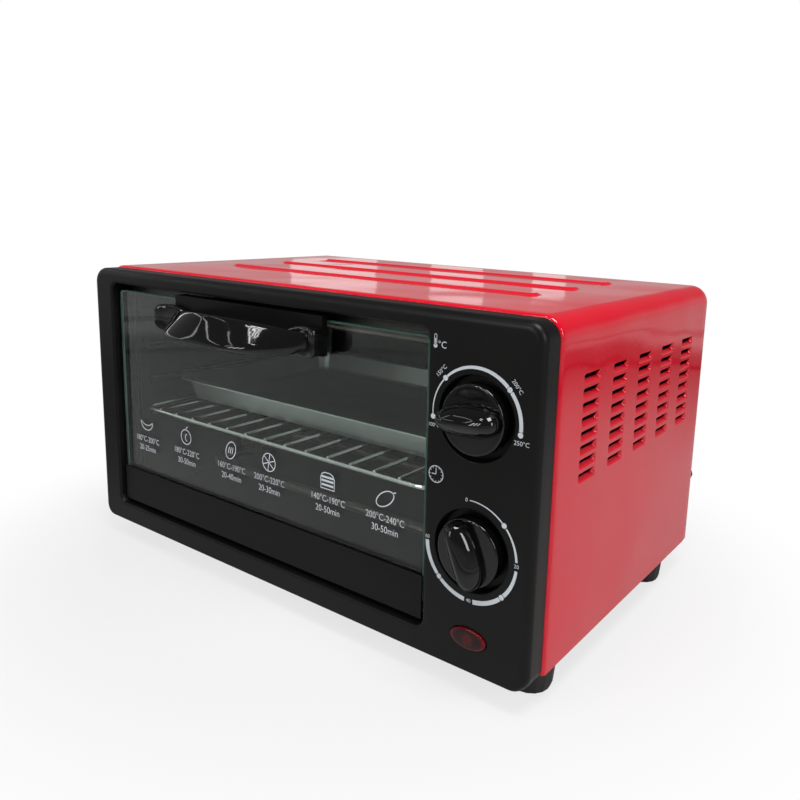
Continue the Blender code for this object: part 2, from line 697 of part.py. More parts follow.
def shell_outline(y, outer, inner, raised):
    """The upside-down U of the wrap at one depth: its outer line inset by outer, its inner by inner."""
    low = up(SHELL_LEG_UP) + raised
    points = wrap_line(SHELL_SIDE - outer, SHELL_TOP - outer, low, SHELL_CORNER - outer)
    inner_corner = max(SHELL_CORNER - inner, SHELL_THICKNESS)
    points += wrap_line(SHELL_SIDE - inner, SHELL_TOP - inner, low, inner_corner)[::-1]
    return np.array([(x, y, z) for x, z in points])


def wrap_line(side, top, low, radius):
    points = [(side, low)]
    for centre, start in ((side - radius, 0), (radius - side, 90)):
        for step in range(CORNER_STEPS + 1):
            angle = math.radians(start + 90 * step / CORNER_STEPS)
            points.append((centre + radius * math.cos(angle), top - radius + radius * math.sin(angle)))
    points.append((-side, low))
    return points


def make_base_pan():
    finish = principled("zinc_sheet", (0.42, 0.43, 0.44), 0.4, 1.0)
    edge = SHELL_SIDE - SHELL_THICKNESS - TOUCH_GAP
    near, far = FRAME_Y + FRAME_SHEET + TOUCH_GAP, REAR_COVER_Y - TOUCH_GAP
    sheet = PAN_THICKNESS
    rim = PAN_LOW + PAN_FLANGE
    rings = []
    for inset, z in ((0, PAN_LOW), (0, rim), (sheet, rim), (sheet, PAN_LOW + sheet)):
        side, front, rear = edge - inset, near + inset, far - inset
        rings.append(facing_z(((-side, front), (side, front), (side, rear), (-side, rear)), z))
    pan = lofted("base_pan", rings, finish)
    middle = across((CAVITY_RIGHT + FASCIA_WIDTH) / 2)
    vents = []
    for number in range(PAN_VENT_COUNT):
        y = back(PAN_VENT_BACK + PAN_VENT_PITCH * number)
        half = PAN_VENT_LENGTH / 2
        low, high = PAN_LOW - CUT_OVERRUN, PAN_LOW + sheet + CUT_OVERRUN
        vents.append(block(middle - half, middle + half, y, y + PAN_VENT_WIDTH, low, high))
    cut(pan, "pan_vents", vents)


def make_feet():
    finish = principled("black_foot_plastic", (0.02, 0.02, 0.02), 0.55)
    top = PAN_LOW - TOUCH_GAP
    low_edge = (FOOT_TAPER + FOOT_EDGE / 3, FOOT_EDGE / 3)
    stations = ((0, top), (FOOT_TAPER, FOOT_EDGE), low_edge, (FOOT_TAPER + FOOT_EDGE, 0))
    for side, sign in (("left", -1), ("right", 1)):
        for end, depth in (("front", FOOT_FRONT_BACK), ("rear", FOOT_REAR_BACK)):
            x, y = sign * (-LEFT - FOOT_FROM_SIDE), back(depth)
            rings = []
            for inset, z in stations:
                radius = FOOT_TOP_RADIUS - inset
                half = FOOT_HALF_STRAIGHT + radius
                rings.append(facing_z(rounded(x - half, x + half, y - radius, y + radius, radius), z))
            lofted("foot_" + end + "_" + side, rings, finish)


def make_rear():
    finish = principled("black_rear_sheet", (0.03, 0.03, 0.03), 0.5, 0.5)
    edge = SHELL_SIDE - SHELL_THICKNESS - TOUCH_GAP
    low, high = PAN_LOW, SHELL_TOP - SHELL_THICKNESS - TOUCH_GAP
    outline = wrap_line(edge, high, low, SHELL_CORNER - SHELL_THICKNESS)
    outer = REAR_COVER_Y + REAR_SHEET
    cover = lofted("rear_cover", [facing_y(outline, REAR_COVER_Y), facing_y(outline, outer)], finish)
    near, far = REAR_COVER_Y - CUT_OVERRUN, outer + CUT_OVERRUN
    middle = across(REAR_VENT_FROM_LEFT)
    cuts = [rod_y(x, z, SCREW_HOLE_RADIUS, near, far) for x, z in REAR_SCREW_PLACES]
    inlet_x, inlet_z = across(INLET_FROM_LEFT), up(INLET_UP)
    cuts.append(rod_y(inlet_x, inlet_z, INLET_RADIUS + TOUCH_GAP, near, far, ROUND_SIDES))
    for number in range(REAR_VENT_COUNT):
        z = up(REAR_VENT_LOW + REAR_VENT_PITCH * number)
        half = REAR_VENT_LENGTH / 2
        cuts.append(block(middle - half, middle + half, near, far, z, z + REAR_VENT_HEIGHT))
    cut(cover, "rear_cover_cuts", cuts)
    steel = principled("screw_steel", (0.5, 0.5, 0.5), 0.3, 1.0)
    head = REAR + TOUCH_GAP
    for name, (x, z) in zip(("low_left", "low_right", "high_left", "high_right"), REAR_SCREW_PLACES):
        screw = screw_stations(head - REAR_SCREW_LENGTH, head)
        lofted("rear_screw_" + name, turned_y(x, z, screw), steel)
    black = principled("black_spacer_plastic", (0.02, 0.02, 0.02), 0.5)
    for side, sign in (("left", -1), ("right", 1)):
        x = sign * (SHELL_SIDE - SPACER_FROM_EDGE - SPACER_RADIUS)
        tip = REAR + SPACER_LENGTH
        spacer = ((SPACER_RADIUS, REAR + TOUCH_GAP), (SPACER_RADIUS, tip - SPACER_EDGE),
                  (SPACER_RADIUS - SPACER_EDGE, tip))
        lofted("rear_spacer_" + side, turned_y(x, up(SPACER_UP), spacer), black)
    seat = outer + TOUCH_GAP
    outside, inside = seat + INLET_FLANGE, REAR_COVER_Y - INLET_INSIDE
    inlet = ((INLET_BORE, outside), (INLET_FLANGE_RADIUS, outside), (INLET_FLANGE_RADIUS, seat),
             (INLET_RADIUS, seat), (INLET_RADIUS, inside), (INLET_BORE, inside))
    rubber = principled("inlet_rubber", (0.02, 0.02, 0.02), 0.6)
    lofted("cord_inlet", turned_y(inlet_x, inlet_z, inlet, ROUND_SIDES), rubber, looped=True)


def screw_stations(tip, head):
    """Radius and depth along a screw, from its tip to the crown of its head."""
    crown = (SCREW_HEAD_RADIUS * SCREW_CROWN_SHARE, head + SCREW_HEAD_HEIGHT)
    return (SCREW_SHANK_RADIUS, tip), (SCREW_SHANK_RADIUS, head), (SCREW_HEAD_RADIUS, head), crown


def make_front_frame():
    finish = principled("aluminised_frame", (0.55, 0.56, 0.56), 0.35, 1.0)
    inset = SHELL_THICKNESS + SHELL_ROLL / 2
    low, high = PAN_LOW, SHELL_TOP - inset - TOUCH_GAP
    outline = wrap_line(SHELL_SIDE - inset - TOUCH_GAP, high, low, SHELL_CORNER - inset)
    rear = FRAME_Y + FRAME_SHEET
    frame = lofted("cavity_front_frame", [facing_y(outline, FRAME_Y), facing_y(outline, rear)], finish)
    near, far = FRAME_Y - CUT_OVERRUN, rear + CUT_OVERRUN
    left, right = across(CAVITY_LEFT), across(CAVITY_RIGHT)
    mouth = block(left, right, near, far, up(CAVITY_BOTTOM), up(CAVITY_TOP))
    left = across(DIAL_FROM_LEFT - TIMER_RADIUS - FRAME_WINDOW_INNER_MARGIN)
    right = across(DIAL_FROM_LEFT + TIMER_RADIUS + FRAME_WINDOW_OUTER_MARGIN)
    window_low = up(TIMER_DIAL_UP) - TIMER_RADIUS - FRAME_WINDOW_BELOW
    window_high = up(TEMPERATURE_DIAL_UP) + THERMOSTAT_HALF + FRAME_WINDOW_ABOVE
    window = block(left, right, near, far, window_low, window_high)
    cut(frame, "frame_openings", [mouth, window])


def make_lining():
    bright = (0.60, 0.61, 0.60)
    near, far = LINING_FRONT, back(CAVITY_BACK)
    low, high = PAN_TOP + TOUCH_GAP, up(CAVITY_TOP)
    for name, inner, outwards in (("left", CAVITY_LEFT, -1), ("right", CAVITY_RIGHT, 1)):
        x = across(inner)
        outer = x + outwards * LINING
        wall = lofted("cavity_" + name + "_wall", block(min(x, outer), max(x, outer), near, far, low, high),
                      principled("aluminised_" + name, bright, 0.3, 1.0))
        runners = []
        for level in range(RUNNER_LEVELS):
            top = up(RUNNER_LOW + RUNNER_PITCH * level)
            inside = x - outwards * RUNNER_DEPTH
            root = x + outwards * LINING / 2
            start, length = back(RUNNER_FRONT), RUNNER_LENGTH
            thick = RUNNER_HEIGHT / 3
            profile = ((root, top), (inside, top), (inside, top - thick), (root, top - RUNNER_HEIGHT))
            runners.append([np.array([(px, y, pz) for px, pz in profile]) for y in (start, start + length)])
        join(wall, name + "_runners", runners)
        if name == "right":
            holes = [rod_x(y, z, BUSH_RADIUS + TOUCH_GAP, x - CUT_OVERRUN, outer + CUT_OVERRUN)
                     for y in HEATER_LEGS for z in HEATER_HEIGHTS]
            cut(wall, "bush_holes", holes)
    left, right = across(CAVITY_LEFT) - LINING, across(CAVITY_RIGHT) + LINING
    inside, roof = far + TOUCH_GAP, high + TOUCH_GAP
    profile = ((near, roof), (near, roof + LINING), (inside + LINING, roof + LINING),
               (inside + LINING, low), (inside, low), (inside, roof))
    top_finish = principled("aluminised_top", bright, 0.3, 1.0)
    lofted("cavity_top_back", [facing_x(profile, left), facing_x(profile, right)], top_finish)
    left, right = across(CAVITY_LEFT) + TOUCH_GAP, across(CAVITY_RIGHT) - TOUCH_GAP
    floor = up(CAVITY_BOTTOM)
    under = floor - LINING
    profile = ((left, low), (left, floor), (right, floor), (right, low), (right - LINING, low),
               (right - LINING, under), (left + LINING, under), (left + LINING, low))
    floor_finish = principled("aluminised_floor", bright, 0.35, 1.0)
    lofted("cavity_floor", [facing_y(profile, near), facing_y(profile, far)], floor_finish)


def make_heaters():
    steel = principled("heater_steel", (0.22, 0.20, 0.18), 0.4, 1.0)
    ceramic = principled("ceramic", (0.75, 0.72, 0.66), 0.6)
    plate = principled("clip_steel", (0.5, 0.5, 0.5), 0.4, 1.0)
    right, left = across(HEATER_RIGHT_END), across(HEATER_LEFT_END)
    front, rear = HEATER_LEGS
    for name, z in zip(("upper", "lower"), HEATER_HEIGHTS):
        path = [(right, front, z)]
        bend = HEATER_BEND
        for corner_y, start in ((front + bend, 270), (rear - bend, 180)):
            for step in range(CORNER_STEPS + 1):
                angle = math.radians(start - 90 * step / CORNER_STEPS)
                path.append((left + bend + bend * math.cos(angle), corner_y + bend * math.sin(angle), z))
        path.append((right, rear, z))
        lofted(name + "_heater", swept(path, HEATER_RADIUS, SMALL_SIDES), steel)
        for end, y in (("front", front), ("rear", rear)):
            wall = across(CAVITY_RIGHT)
            seat = wall + LINING + TOUCH_GAP
            bore, end_face = HEATER_RADIUS + HEATER_CLEARANCE, seat + BUSH_FLANGE
            bush = ((bore, wall - BUSH_INSIDE), (BUSH_RADIUS, wall - BUSH_INSIDE), (BUSH_RADIUS, seat),
                    (BUSH_FLANGE_RADIUS, seat), (BUSH_FLANGE_RADIUS, end_face), (bore, end_face))
            lofted("heater_bush_" + name + "_" + end, turned_x(y, z, bush), ceramic, looped=True)
        middle = (front + rear) / 2
        wall, tip = across(CAVITY_LEFT) + TOUCH_GAP, left + HEATER_RADIUS + CLIP_BEYOND
        near, far = middle - CLIP_THICKNESS / 2, middle + CLIP_THICKNESS / 2
        clip_box = block(wall, tip, near, far, z - CLIP_HALF_HEIGHT, z + CLIP_HALF_HEIGHT)
        clip = lofted("heater_clip_" + name, clip_box, plate)
        hole = rod_y(left, z, HEATER_RADIUS + HEATER_CLEARANCE, near - CUT_OVERRUN, far + CUT_OVERRUN)
        cut(clip, "clip_hole_" + name, [hole])
    x = across(SHIELD_FROM_LEFT)
    outer = x + SHIELD_THICKNESS
    near, far = back(SHIELD_FRONT), back(SHIELD_BACK)
    shield = lofted("heat_shield", block(x, outer, near, far, PAN_TOP + TOUCH_GAP, up(SHIELD_TOP)),
                    principled("shield_sheet", (0.5, 0.5, 0.5), 0.4, 1.0))
    holes = [rod_x(y, z, SHIELD_HOLE, x - CUT_OVERRUN, outer + CUT_OVERRUN)
             for y in HEATER_LEGS for z in HEATER_HEIGHTS]
    cut(shield, "shield_holes", holes)


def make_controls():
    x = across(DIAL_FROM_LEFT)
    bracket_rear = BRACKET_Y + BRACKET_SHEET
    left = across(DIAL_FROM_LEFT - TIMER_RADIUS - BRACKET_INNER_MARGIN)
    right = across(DIAL_FROM_LEFT + TIMER_RADIUS + BRACKET_OUTER_MARGIN)
    low, high = up(TIMER_DIAL_UP - BRACKET_MARGIN), up(TEMPERATURE_DIAL_UP + BRACKET_MARGIN)
    bracket = lofted("control_bracket", block(left, right, BRACKET_Y, bracket_rear, low, high),
                     principled("bracket_zinc", (0.5, 0.5, 0.52), 0.35, 1.0))
    holes = [rod_y(x, up(dial), SHAFT_HOLE_RADIUS, BRACKET_Y - CUT_OVERRUN, bracket_rear + CUT_OVERRUN)
             for dial in (TEMPERATURE_DIAL_UP, TIMER_DIAL_UP)]
    cut(bracket, "bracket_holes", holes)
    shaft_hole = SHAFT_RADIUS + SHAFT_CLEARANCE
    bore_start, bore_end = CONTROL_FACE - CUT_OVERRUN, CONTROL_FACE + SHAFT_IN_BODY
    half, z = THERMOSTAT_HALF, up(TEMPERATURE_DIAL_UP)
    rear = CONTROL_FACE + THERMOSTAT_DEPTH
    body = block(x - half, x + half, CONTROL_FACE, rear, z - half, z + half)
    thermostat = lofted("thermostat_body", body, principled("thermostat_ceramic", (0.70, 0.68, 0.62), 0.5))
    cut(thermostat, "thermostat_bore", [rod_y(x, z, shaft_hole, bore_start, bore_end)])
    z = up(TIMER_DIAL_UP)
    rear = CONTROL_FACE + TIMER_DEPTH
    timer = lofted("timer_body", rod_y(x, z, TIMER_RADIUS, CONTROL_FACE, rear, ROUND_SIDES),
                   principled("timer_steel", (0.55, 0.53, 0.45), 0.35, 1.0))
    cut(timer, "timer_bore", [rod_y(x, z, shaft_hole, bore_start, bore_end)])
    bell = [(BELL_RADIUS * wide, rear + TOUCH_GAP + BELL_DEPTH * deep) for wide, deep in BELL_SHARES]
    bell_steel = principled("bell_steel", (0.6, 0.6, 0.6), 0.25, 1.0)
    lofted("timer_bell", turned_y(x, z, bell, ROUND_SIDES), bell_steel)
    x, y = across(TERMINAL_FROM_LEFT), back(TERMINAL_BACK)
    half_length, half_width = TERMINAL_LENGTH / 2, TERMINAL_WIDTH / 2
    low = PAN_TOP + TOUCH_GAP
    high = low + TERMINAL_HEIGHT
    terminals = block(x - half_length, x + half_length, y - half_width, y + half_width, low, high)
    lofted("terminal_block", terminals, principled("terminal_nylon", (0.7, 0.7, 0.66), 0.5))


def lead(name, start, leave, end, arrive, colour):
    """A sleeved wire from one face to another: a cubic from start along leave to end along arrive."""
    start, leave, end, arrive = (np.array(item) for item in (start, leave, end, arrive))
    share = (1 - np.cos(np.linspace(0, math.pi, LEAD_STATIONS)))[:, None] / 2
    controls = (start, start + leave, end + arrive, end)
    weights = ((1 - share) ** 3, 3 * share * (1 - share) ** 2, 3 * share**2 * (1 - share), share**3)
    points = sum(weight * control for weight, control in zip(weights, controls))
    curve = bpy.data.curves.new(name, "CURVE")
    curve.dimensions = "3D"
    curve.bevel_depth = LEAD_RADIUS
    curve.bevel_resolution = 1
    curve.use_fill_caps = True
    spline = curve.splines.new("POLY")
    spline.points.add(len(points) - 1)
    for target, point in zip(spline.points, points):
        target.co = (*point, 1.0)
    curve.materials.append(principled(name + "_sleeve", colour, 0.5))
    made = bpy.data.objects.new(name, curve)
    bpy.context.scene.collection.objects.link(made)


def make_leads():
    x = across(DIAL_FROM_LEFT)
    gap = 2 * TOUCH_GAP
    thermostat_rear = CONTROL_FACE + THERMOSTAT_DEPTH + gap
    block_top = PAN_TOP + TOUCH_GAP + TERMINAL_HEIGHT + gap
    block_x, block_y = across(TERMINAL_FROM_LEFT), back(TERMINAL_BACK)
    rise = (0, 0, LEAD_RISE)
    rearwards = (0, LEAD_RISE, 0)
    quarter = THERMOSTAT_HALF / 2
    top, low = HEATER_HEIGHTS
    lead("lead_supply", (block_x + TERMINAL_LENGTH / 4, block_y, block_top), rise,
         (x + quarter, thermostat_rear, up(TEMPERATURE_DIAL_UP)), rearwards, (0.35, 0.05, 0.02))
    timer_side = (x + TIMER_RADIUS / 2, CONTROL_FACE + TIMER_DEPTH / 2,
                  up(TIMER_DIAL_UP) + math.sqrt(TIMER_RADIUS**2 - (TIMER_RADIUS / 2) ** 2) + gap)
    thermostat_under = up(TEMPERATURE_DIAL_UP) - THERMOSTAT_HALF - gap
    lead("lead_timer", (x, CONTROL_FACE + THERMOSTAT_DEPTH / 2, thermostat_under),
         (0, 0, -quarter), timer_side, (0, 0, quarter), (0.55, 0.55, 0.5))
    heater_end = across(HEATER_RIGHT_END) + gap
    outwards = (LEAD_RISE, 0, 0)
    lead("lead_upper_heater", (heater_end, HEATER_LEGS[0], top), outwards,
         (x - quarter, thermostat_rear, up(TEMPERATURE_DIAL_UP) + quarter), rearwards, (0.55, 0.55, 0.5))
    lead("lead_heater_link", (heater_end, HEATER_LEGS[1], top), outwards,
         (heater_end, HEATER_LEGS[1], low), outwards, (0.55, 0.55, 0.5))


def make_door(carrier):
    black = principled("rail_black", (0.014, 0.014, 0.014), 0.35)
    front = back(RAIL_RECESS)
    glass_front = front + RAIL_SHEET + TOUCH_GAP
    glass_back = glass_front + GLASS_THICKNESS
    inner = glass_back + TOUCH_GAP
    low, foot, high = DOOR_LOW, DOOR_LOW + RAIL_FOOT, DOOR_LOW + RAIL_HEIGHT
    rear = front + RAIL_DEPTH
    web, lip = front + RAIL_SHEET, inner + RAIL_SHEET
    profile = ((front, low), (rear, low), (rear, foot), (lip, foot), (lip, high), (inner, high),
               (inner, foot), (web, foot), (web, high), (front, high))
    channel = [facing_x(profile, DOOR_LEFT), facing_x(profile, DOOR_RIGHT)]
    rail = lofted("door_lower_rail", channel, black, carrier)
    bore = HINGE_PIN_RADIUS + HINGE_PIN_CLEARANCE
    bores = [rod_x(HINGE_Y, HINGE_Z, bore, DOOR_LEFT - CUT_OVERRUN, DOOR_LEFT + HINGE_PIN_IN_RAIL),
             rod_x(HINGE_Y, HINGE_Z, bore, DOOR_RIGHT - HINGE_PIN_IN_RAIL, DOOR_RIGHT + CUT_OVERRUN)]
    cut(rail, "rail_bores", bores)
    pane = rounded(DOOR_LEFT, DOOR_RIGHT, foot + TOUCH_GAP, DOOR_HIGH, GLASS_CORNER, 3)
    glass = lofted("door_glass", [facing_y(pane, glass_front), facing_y(pane, glass_back)],
                   principled("door_pane", (0.03, 0.05, 0.045), 0.03, 0.0, 0.35), carrier)
    near, far = back(-HANDLE_REACH), glass_back + BACKING_SHEET + FASCIA_DEPTH
    holes = [rod_y(x, HANDLE_SCREW_Z, SCREW_HOLE_RADIUS, near, far) for x in HANDLE_SCREW_X]
    cut(glass, "glass_holes", holes)
    plate_front, plate_top = FRONT, DOOR_HIGH + TOP_PLATE_ABOVE_GLASS
    plate_low, seat = plate_top - TOP_PLATE_HEIGHT, DOOR_HIGH + TOUCH_GAP
    behind = glass_front - TOUCH_GAP
    profile = ((plate_front, plate_low), (behind, plate_low), (behind, seat), (glass_back, seat),
               (glass_back, plate_top), (plate_front, plate_top))
    left, right = DOOR_MIDDLE - TOP_PLATE_HALF_WIDTH, DOOR_MIDDLE + TOP_PLATE_HALF_WIDTH
    plate = lofted("door_top_plate", [facing_x(profile, left), facing_x(profile, right)],
                   principled("plate_black", (0.014, 0.014, 0.014), 0.4), carrier)
    boolean(plate, bpy.data.objects["glass_holes"], "DIFFERENCE")
    strip_front = glass_back + TOUCH_GAP
    strip_back = strip_front + BACKING_SHEET
    strip_low, strip_high = HANDLE_SCREW_Z - BACKING_HEIGHT / 2, HANDLE_SCREW_Z + BACKING_HEIGHT / 2
    strip_box = block(left, right, strip_front, strip_back, strip_low, strip_high)
    strip_steel = principled("strip_steel", (0.3, 0.3, 0.3), 0.4, 1.0)
    strip = lofted("handle_backing_strip", strip_box, strip_steel, carrier)
    boolean(strip, bpy.data.objects["glass_holes"], "DIFFERENCE")
    steel = principled("door_screw_steel", (0.5, 0.5, 0.5), 0.3, 1.0)
    pad_seat = plate_front - TOUCH_GAP
    screw = screw_stations(pad_seat - HANDLE_SCREW_IN_PAD, strip_back + TOUCH_GAP)
    for side, x in zip(("left", "right"), HANDLE_SCREW_X):
        lofted("handle_screw_" + side, turned_y(x, HANDLE_SCREW_Z, screw), steel, carrier)
    make_handle(carrier, pad_seat, pad_seat - HANDLE_SCREW_IN_PAD)
    inner_end = HINGE_PIN_IN_RAIL - TOUCH_GAP
    outer_end = DOOR_SIDE_GAP + FASCIA_WALL + TOUCH_GAP + HINGE_BRACKET_SHEET + HINGE_PIN_BEYOND
    spans = (("left", DOOR_LEFT - outer_end, DOOR_LEFT + inner_end),
             ("right", DOOR_RIGHT - inner_end, DOOR_RIGHT + outer_end))
    for side, start, end in spans:
        pin = rod_x(HINGE_Y, HINGE_Z, HINGE_PIN_RADIUS, start, end)
        lofted("hinge_pin_" + side, pin, steel, carrier)


def make_handle(carrier, seat, screw_tip):
    """A bowed bar between two pads. Its front edges leave the door as one minus a power of the way along.

    Each pad is a row of rounded sections that swell to a wing at the handle's tip.
    """
    finish = principled("handle_gloss_black", (0.01, 0.01, 0.01), 0.08)
    rings = []
    for share in np.linspace(-1, 1, BAR_STATIONS):
        rise = 1 - abs(share) ** BAR_RISE_POWER
        high_bow = 1 - abs(share) ** BAR_HIGH_POWER
        low_bow = 1 - abs(share) ** BAR_LOW_POWER
        high = (DOOR_MIDDLE + BAR_HIGH_HALF * share,
                back(-BAR_END_REACH - (BAR_HIGH_MID_REACH - BAR_END_REACH) * high_bow),
                below_top(BAR_HIGH_END_BELOW + (BAR_HIGH_MID_BELOW - BAR_HIGH_END_BELOW) * rise))
        low = (DOOR_MIDDLE + BAR_LOW_HALF * share,
               back(-BAR_END_REACH - (HANDLE_REACH - BAR_END_REACH) * low_bow),
               below_top(BAR_LOW_END_BELOW + (BAR_LOW_MID_BELOW - BAR_LOW_END_BELOW) * rise))
        rings.append(bar_section(np.array(high), np.array(low), seat - TOUCH_GAP))
    handle = lofted("handle", rings, finish, carrier)
    pads = []
    for sign, end in ((-1, HANDLE_HALF_LENGTH), (1, HANDLE_HALF_LENGTH - PAD_RIGHT_INSET)):
        pad = []
        for along, reach, low, high in PAD_STATION_SHARES:
            depth = PAD_DEPTH * reach
            low_z = below_top(PAD_FOOT_BELOW - PAD_HEIGHT * low)
            high_z = below_top(PAD_FOOT_BELOW - PAD_HEIGHT * high)
            outline = rounded(seat - depth, seat, low_z, high_z, min(PAD_CORNER, depth / 3), 3)
            place = DOOR_MIDDLE + sign * (end - PAD_LENGTH * (1 - along))
            pad.append(facing_x(outline, place))
        pads.append(pad)
    join(handle, "handle_pads", pads)
    bore_end = screw_tip - TOUCH_GAP
    bores = [rod_y(x, HANDLE_SCREW_Z, SCREW_HOLE_RADIUS, bore_end, seat + CUT_OVERRUN)
             for x in HANDLE_SCREW_X]
    cut(handle, "handle_bores", bores)


def bar_section(high, low, limit):
    """Eight points round the bar: its edges bevelled, its back set inwards but never behind the limit."""
    face = low - high
    face /= np.linalg.norm(face)
    inwards = np.array((0.0, -face[2], face[1]))
    inwards /= np.linalg.norm(inwards)
    depth_high = min(BAR_THICKNESS, (limit - high[1]) / inwards[1])
    depth_low = min(BAR_THICKNESS, (limit - low[1]) / inwards[1])
    bevel = min(BAR_BEVEL, depth_high / 3)
    rear_high = high + inwards * depth_high
    rear_low = low + inwards * depth_low
    return np.array([
        high + face * bevel, low - face * bevel, low + inwards * bevel,
        rear_low - inwards * bevel, rear_low - face * bevel, rear_high + face * bevel,
        rear_high - inwards * bevel, high + inwards * bevel,
    ])


def make_hinge():
    steel = principled("hinge_steel", (0.5, 0.5, 0.5), 0.35, 1.0)
    near, far = back(FASCIA_WALL + TOUCH_GAP), FRAME_Y - TOUCH_GAP
    low, high = HINGE_Z - HINGE_BRACKET_BELOW, HINGE_Z + HINGE_BRACKET_ABOVE
    bore = HINGE_PIN_RADIUS + HINGE_PIN_CLEARANCE
    walls = (("left", across(OPENING_LEFT), -1), ("right", across(OPENING_LEFT + OPENING_WIDTH), 1))
    for side, wall, sign in walls:
        inner = wall + sign * (FASCIA_WALL + TOUCH_GAP)
        outer = inner + sign * HINGE_BRACKET_SHEET
        left, right = min(inner, outer), max(inner, outer)
        bracket = lofted("hinge_bracket_" + side, block(left, right, near, far, low, high), steel)
        hole = rod_x(HINGE_Y, HINGE_Z, bore, left - CUT_OVERRUN, right + CUT_OVERRUN)
        cut(bracket, "hinge_bore_" + side, [hole])
    start = outer + TOUCH_GAP
    end = start + SPRING_LENGTH
    spring = ((bore, start), (SPRING_RADIUS, start), (SPRING_RADIUS, end), (bore, end))
    spring_steel = principled("spring_steel", (0.45, 0.45, 0.45), 0.3, 1.0)
    lofted("door_spring", turned_x(HINGE_Y, HINGE_Z, spring), spring_steel, looped=True)


def make_rack(carrier):
    plated = principled("plated_wire", (0.75, 0.75, 0.74), 0.18, 1.0)
    side = RACK_SIDE_GAP + RACK_WIRE
    left, right = across(CAVITY_LEFT) + side, across(CAVITY_RIGHT) - side
    near, far = back(RACK_FRONT), back(RACK_BACK)
    outline = rounded(left, right, near + RACK_WIRE, far - RACK_WIRE, RACK_CORNER)
    rings = swept(facing_z(outline, RACK_Z), RACK_WIRE, WIRE_SIDES + 2, looped=True)
    rack = lofted("wire_rack", rings, plated, carrier, looped=True)
    first = left - RACK_WIRE + RACK_END_SPACE
    last = right + RACK_WIRE - RACK_END_SPACE
    wires = []
    for x in np.linspace(first, last, RACK_CROSS_COUNT):
        start, end = near + RACK_WIRE / 2, far - RACK_WIRE / 2
        wires.append(rod_y(x, RACK_Z + RACK_CROSS_RISE, RACK_CROSS_WIRE, start, end, WIRE_SIDES))
    join(rack, "cross_wires", wires)


def make_tray(carrier):
    finish = principled("tray_enamel", (0.33, 0.36, 0.35), 0.35, 0.4)
    low = RACK_TOP + TOUCH_GAP
    high = low + TRAY_HEIGHT
    rim, sheet = TRAY_RIM, TRAY_SHEET
    floor = rim + TRAY_DRAFT
    turn = TRAY_FLOOR_ROUND
    inner = floor + sheet
    stations = ((floor + turn, low), (floor + turn / 4, low + turn / 4), (floor, low + turn),
                (rim, high - sheet), (0, high - sheet), (0, high),
                (rim + sheet, high), (inner, low + turn), (inner + turn / 4, low + sheet + turn / 4),
                (inner + turn, low + sheet))
    side = RUNNER_DEPTH + TRAY_SIDE_GAP
    left, right = across(CAVITY_LEFT) + side, across(CAVITY_RIGHT) - side
    near, far = back(TRAY_FRONT), back(TRAY_BACK)
    rings = []
    for inset, z in stations:
        corner = max(TRAY_CORNER - inset / 2, sheet)
        outline = rounded(left + inset, right - inset, near + inset, far - inset, corner, 3)
        rings.append(facing_z(outline, z))
    lofted("baking_tray", rings, finish, carrier)


# Places that several pieces share
SHELL_SIDE = -LEFT + SHELL_PROUD
SHELL_TOP = FASCIA_HIGH + SHELL_PROUD
FRAME_Y = FASCIA_BACK + SHELL_THICKNESS + 2 * TOUCH_GAP
REAR_COVER_Y = REAR - SHELL_THICKNESS - TOUCH_GAP - REAR_SHEET
PAN_LOW = up(SHELL_LEG_UP) + TOUCH_GAP
PAN_TOP = PAN_LOW + PAN_THICKNESS
LINING_FRONT = FRAME_Y + FRAME_SHEET + TOUCH_GAP + PAN_THICKNESS + TOUCH_GAP
BRACKET_Y = back(WELL_DEPTH + FASCIA_WALL) + TOUCH_GAP
CONTROL_FACE = BRACKET_Y + BRACKET_SHEET + TOUCH_GAP
REAR_SCREW_PLACES = [(sign * (SHELL_SIDE - REAR_SCREW_IN), up(height))
                     for height in (REAR_SCREW_LOW, REAR_SCREW_HIGH) for sign in (-1, 1)]
HEATER_LEGS = (back(HEATER_FRONT_BACK), back(HEATER_REAR_BACK))
HEATER_HEIGHTS = (up(UPPER_HEATER_UP), up(LOWER_HEATER_UP))
DOOR_LEFT = across(OPENING_LEFT + DOOR_SIDE_GAP)
DOOR_RIGHT = across(OPENING_LEFT + OPENING_WIDTH - DOOR_SIDE_GAP)
DOOR_MIDDLE = (DOOR_LEFT + DOOR_RIGHT) / 2
DOOR_LOW = up(OPENING_BOTTOM + DOOR_BOTTOM_GAP)
DOOR_HIGH = up(OPENING_BOTTOM + OPENING_HEIGHT - DOOR_TOP_GAP)
HINGE_Y = back(HINGE_BACK)
HINGE_Z = DOOR_LOW + HINGE_ABOVE_RAIL
HANDLE_SCREW_SPREAD = TOP_PLATE_HALF_WIDTH - HANDLE_SCREW_FROM_END
HANDLE_SCREW_X = (DOOR_MIDDLE - HANDLE_SCREW_SPREAD, DOOR_MIDDLE + HANDLE_SCREW_SPREAD)
HANDLE_SCREW_Z = below_top(HANDLE_SCREW_BELOW)
RACK_Z = up(RUNNER_LOW) + TOUCH_GAP + RACK_WIRE
RACK_TOP = RACK_Z + RACK_CROSS_RISE + RACK_CROSS_WIRE

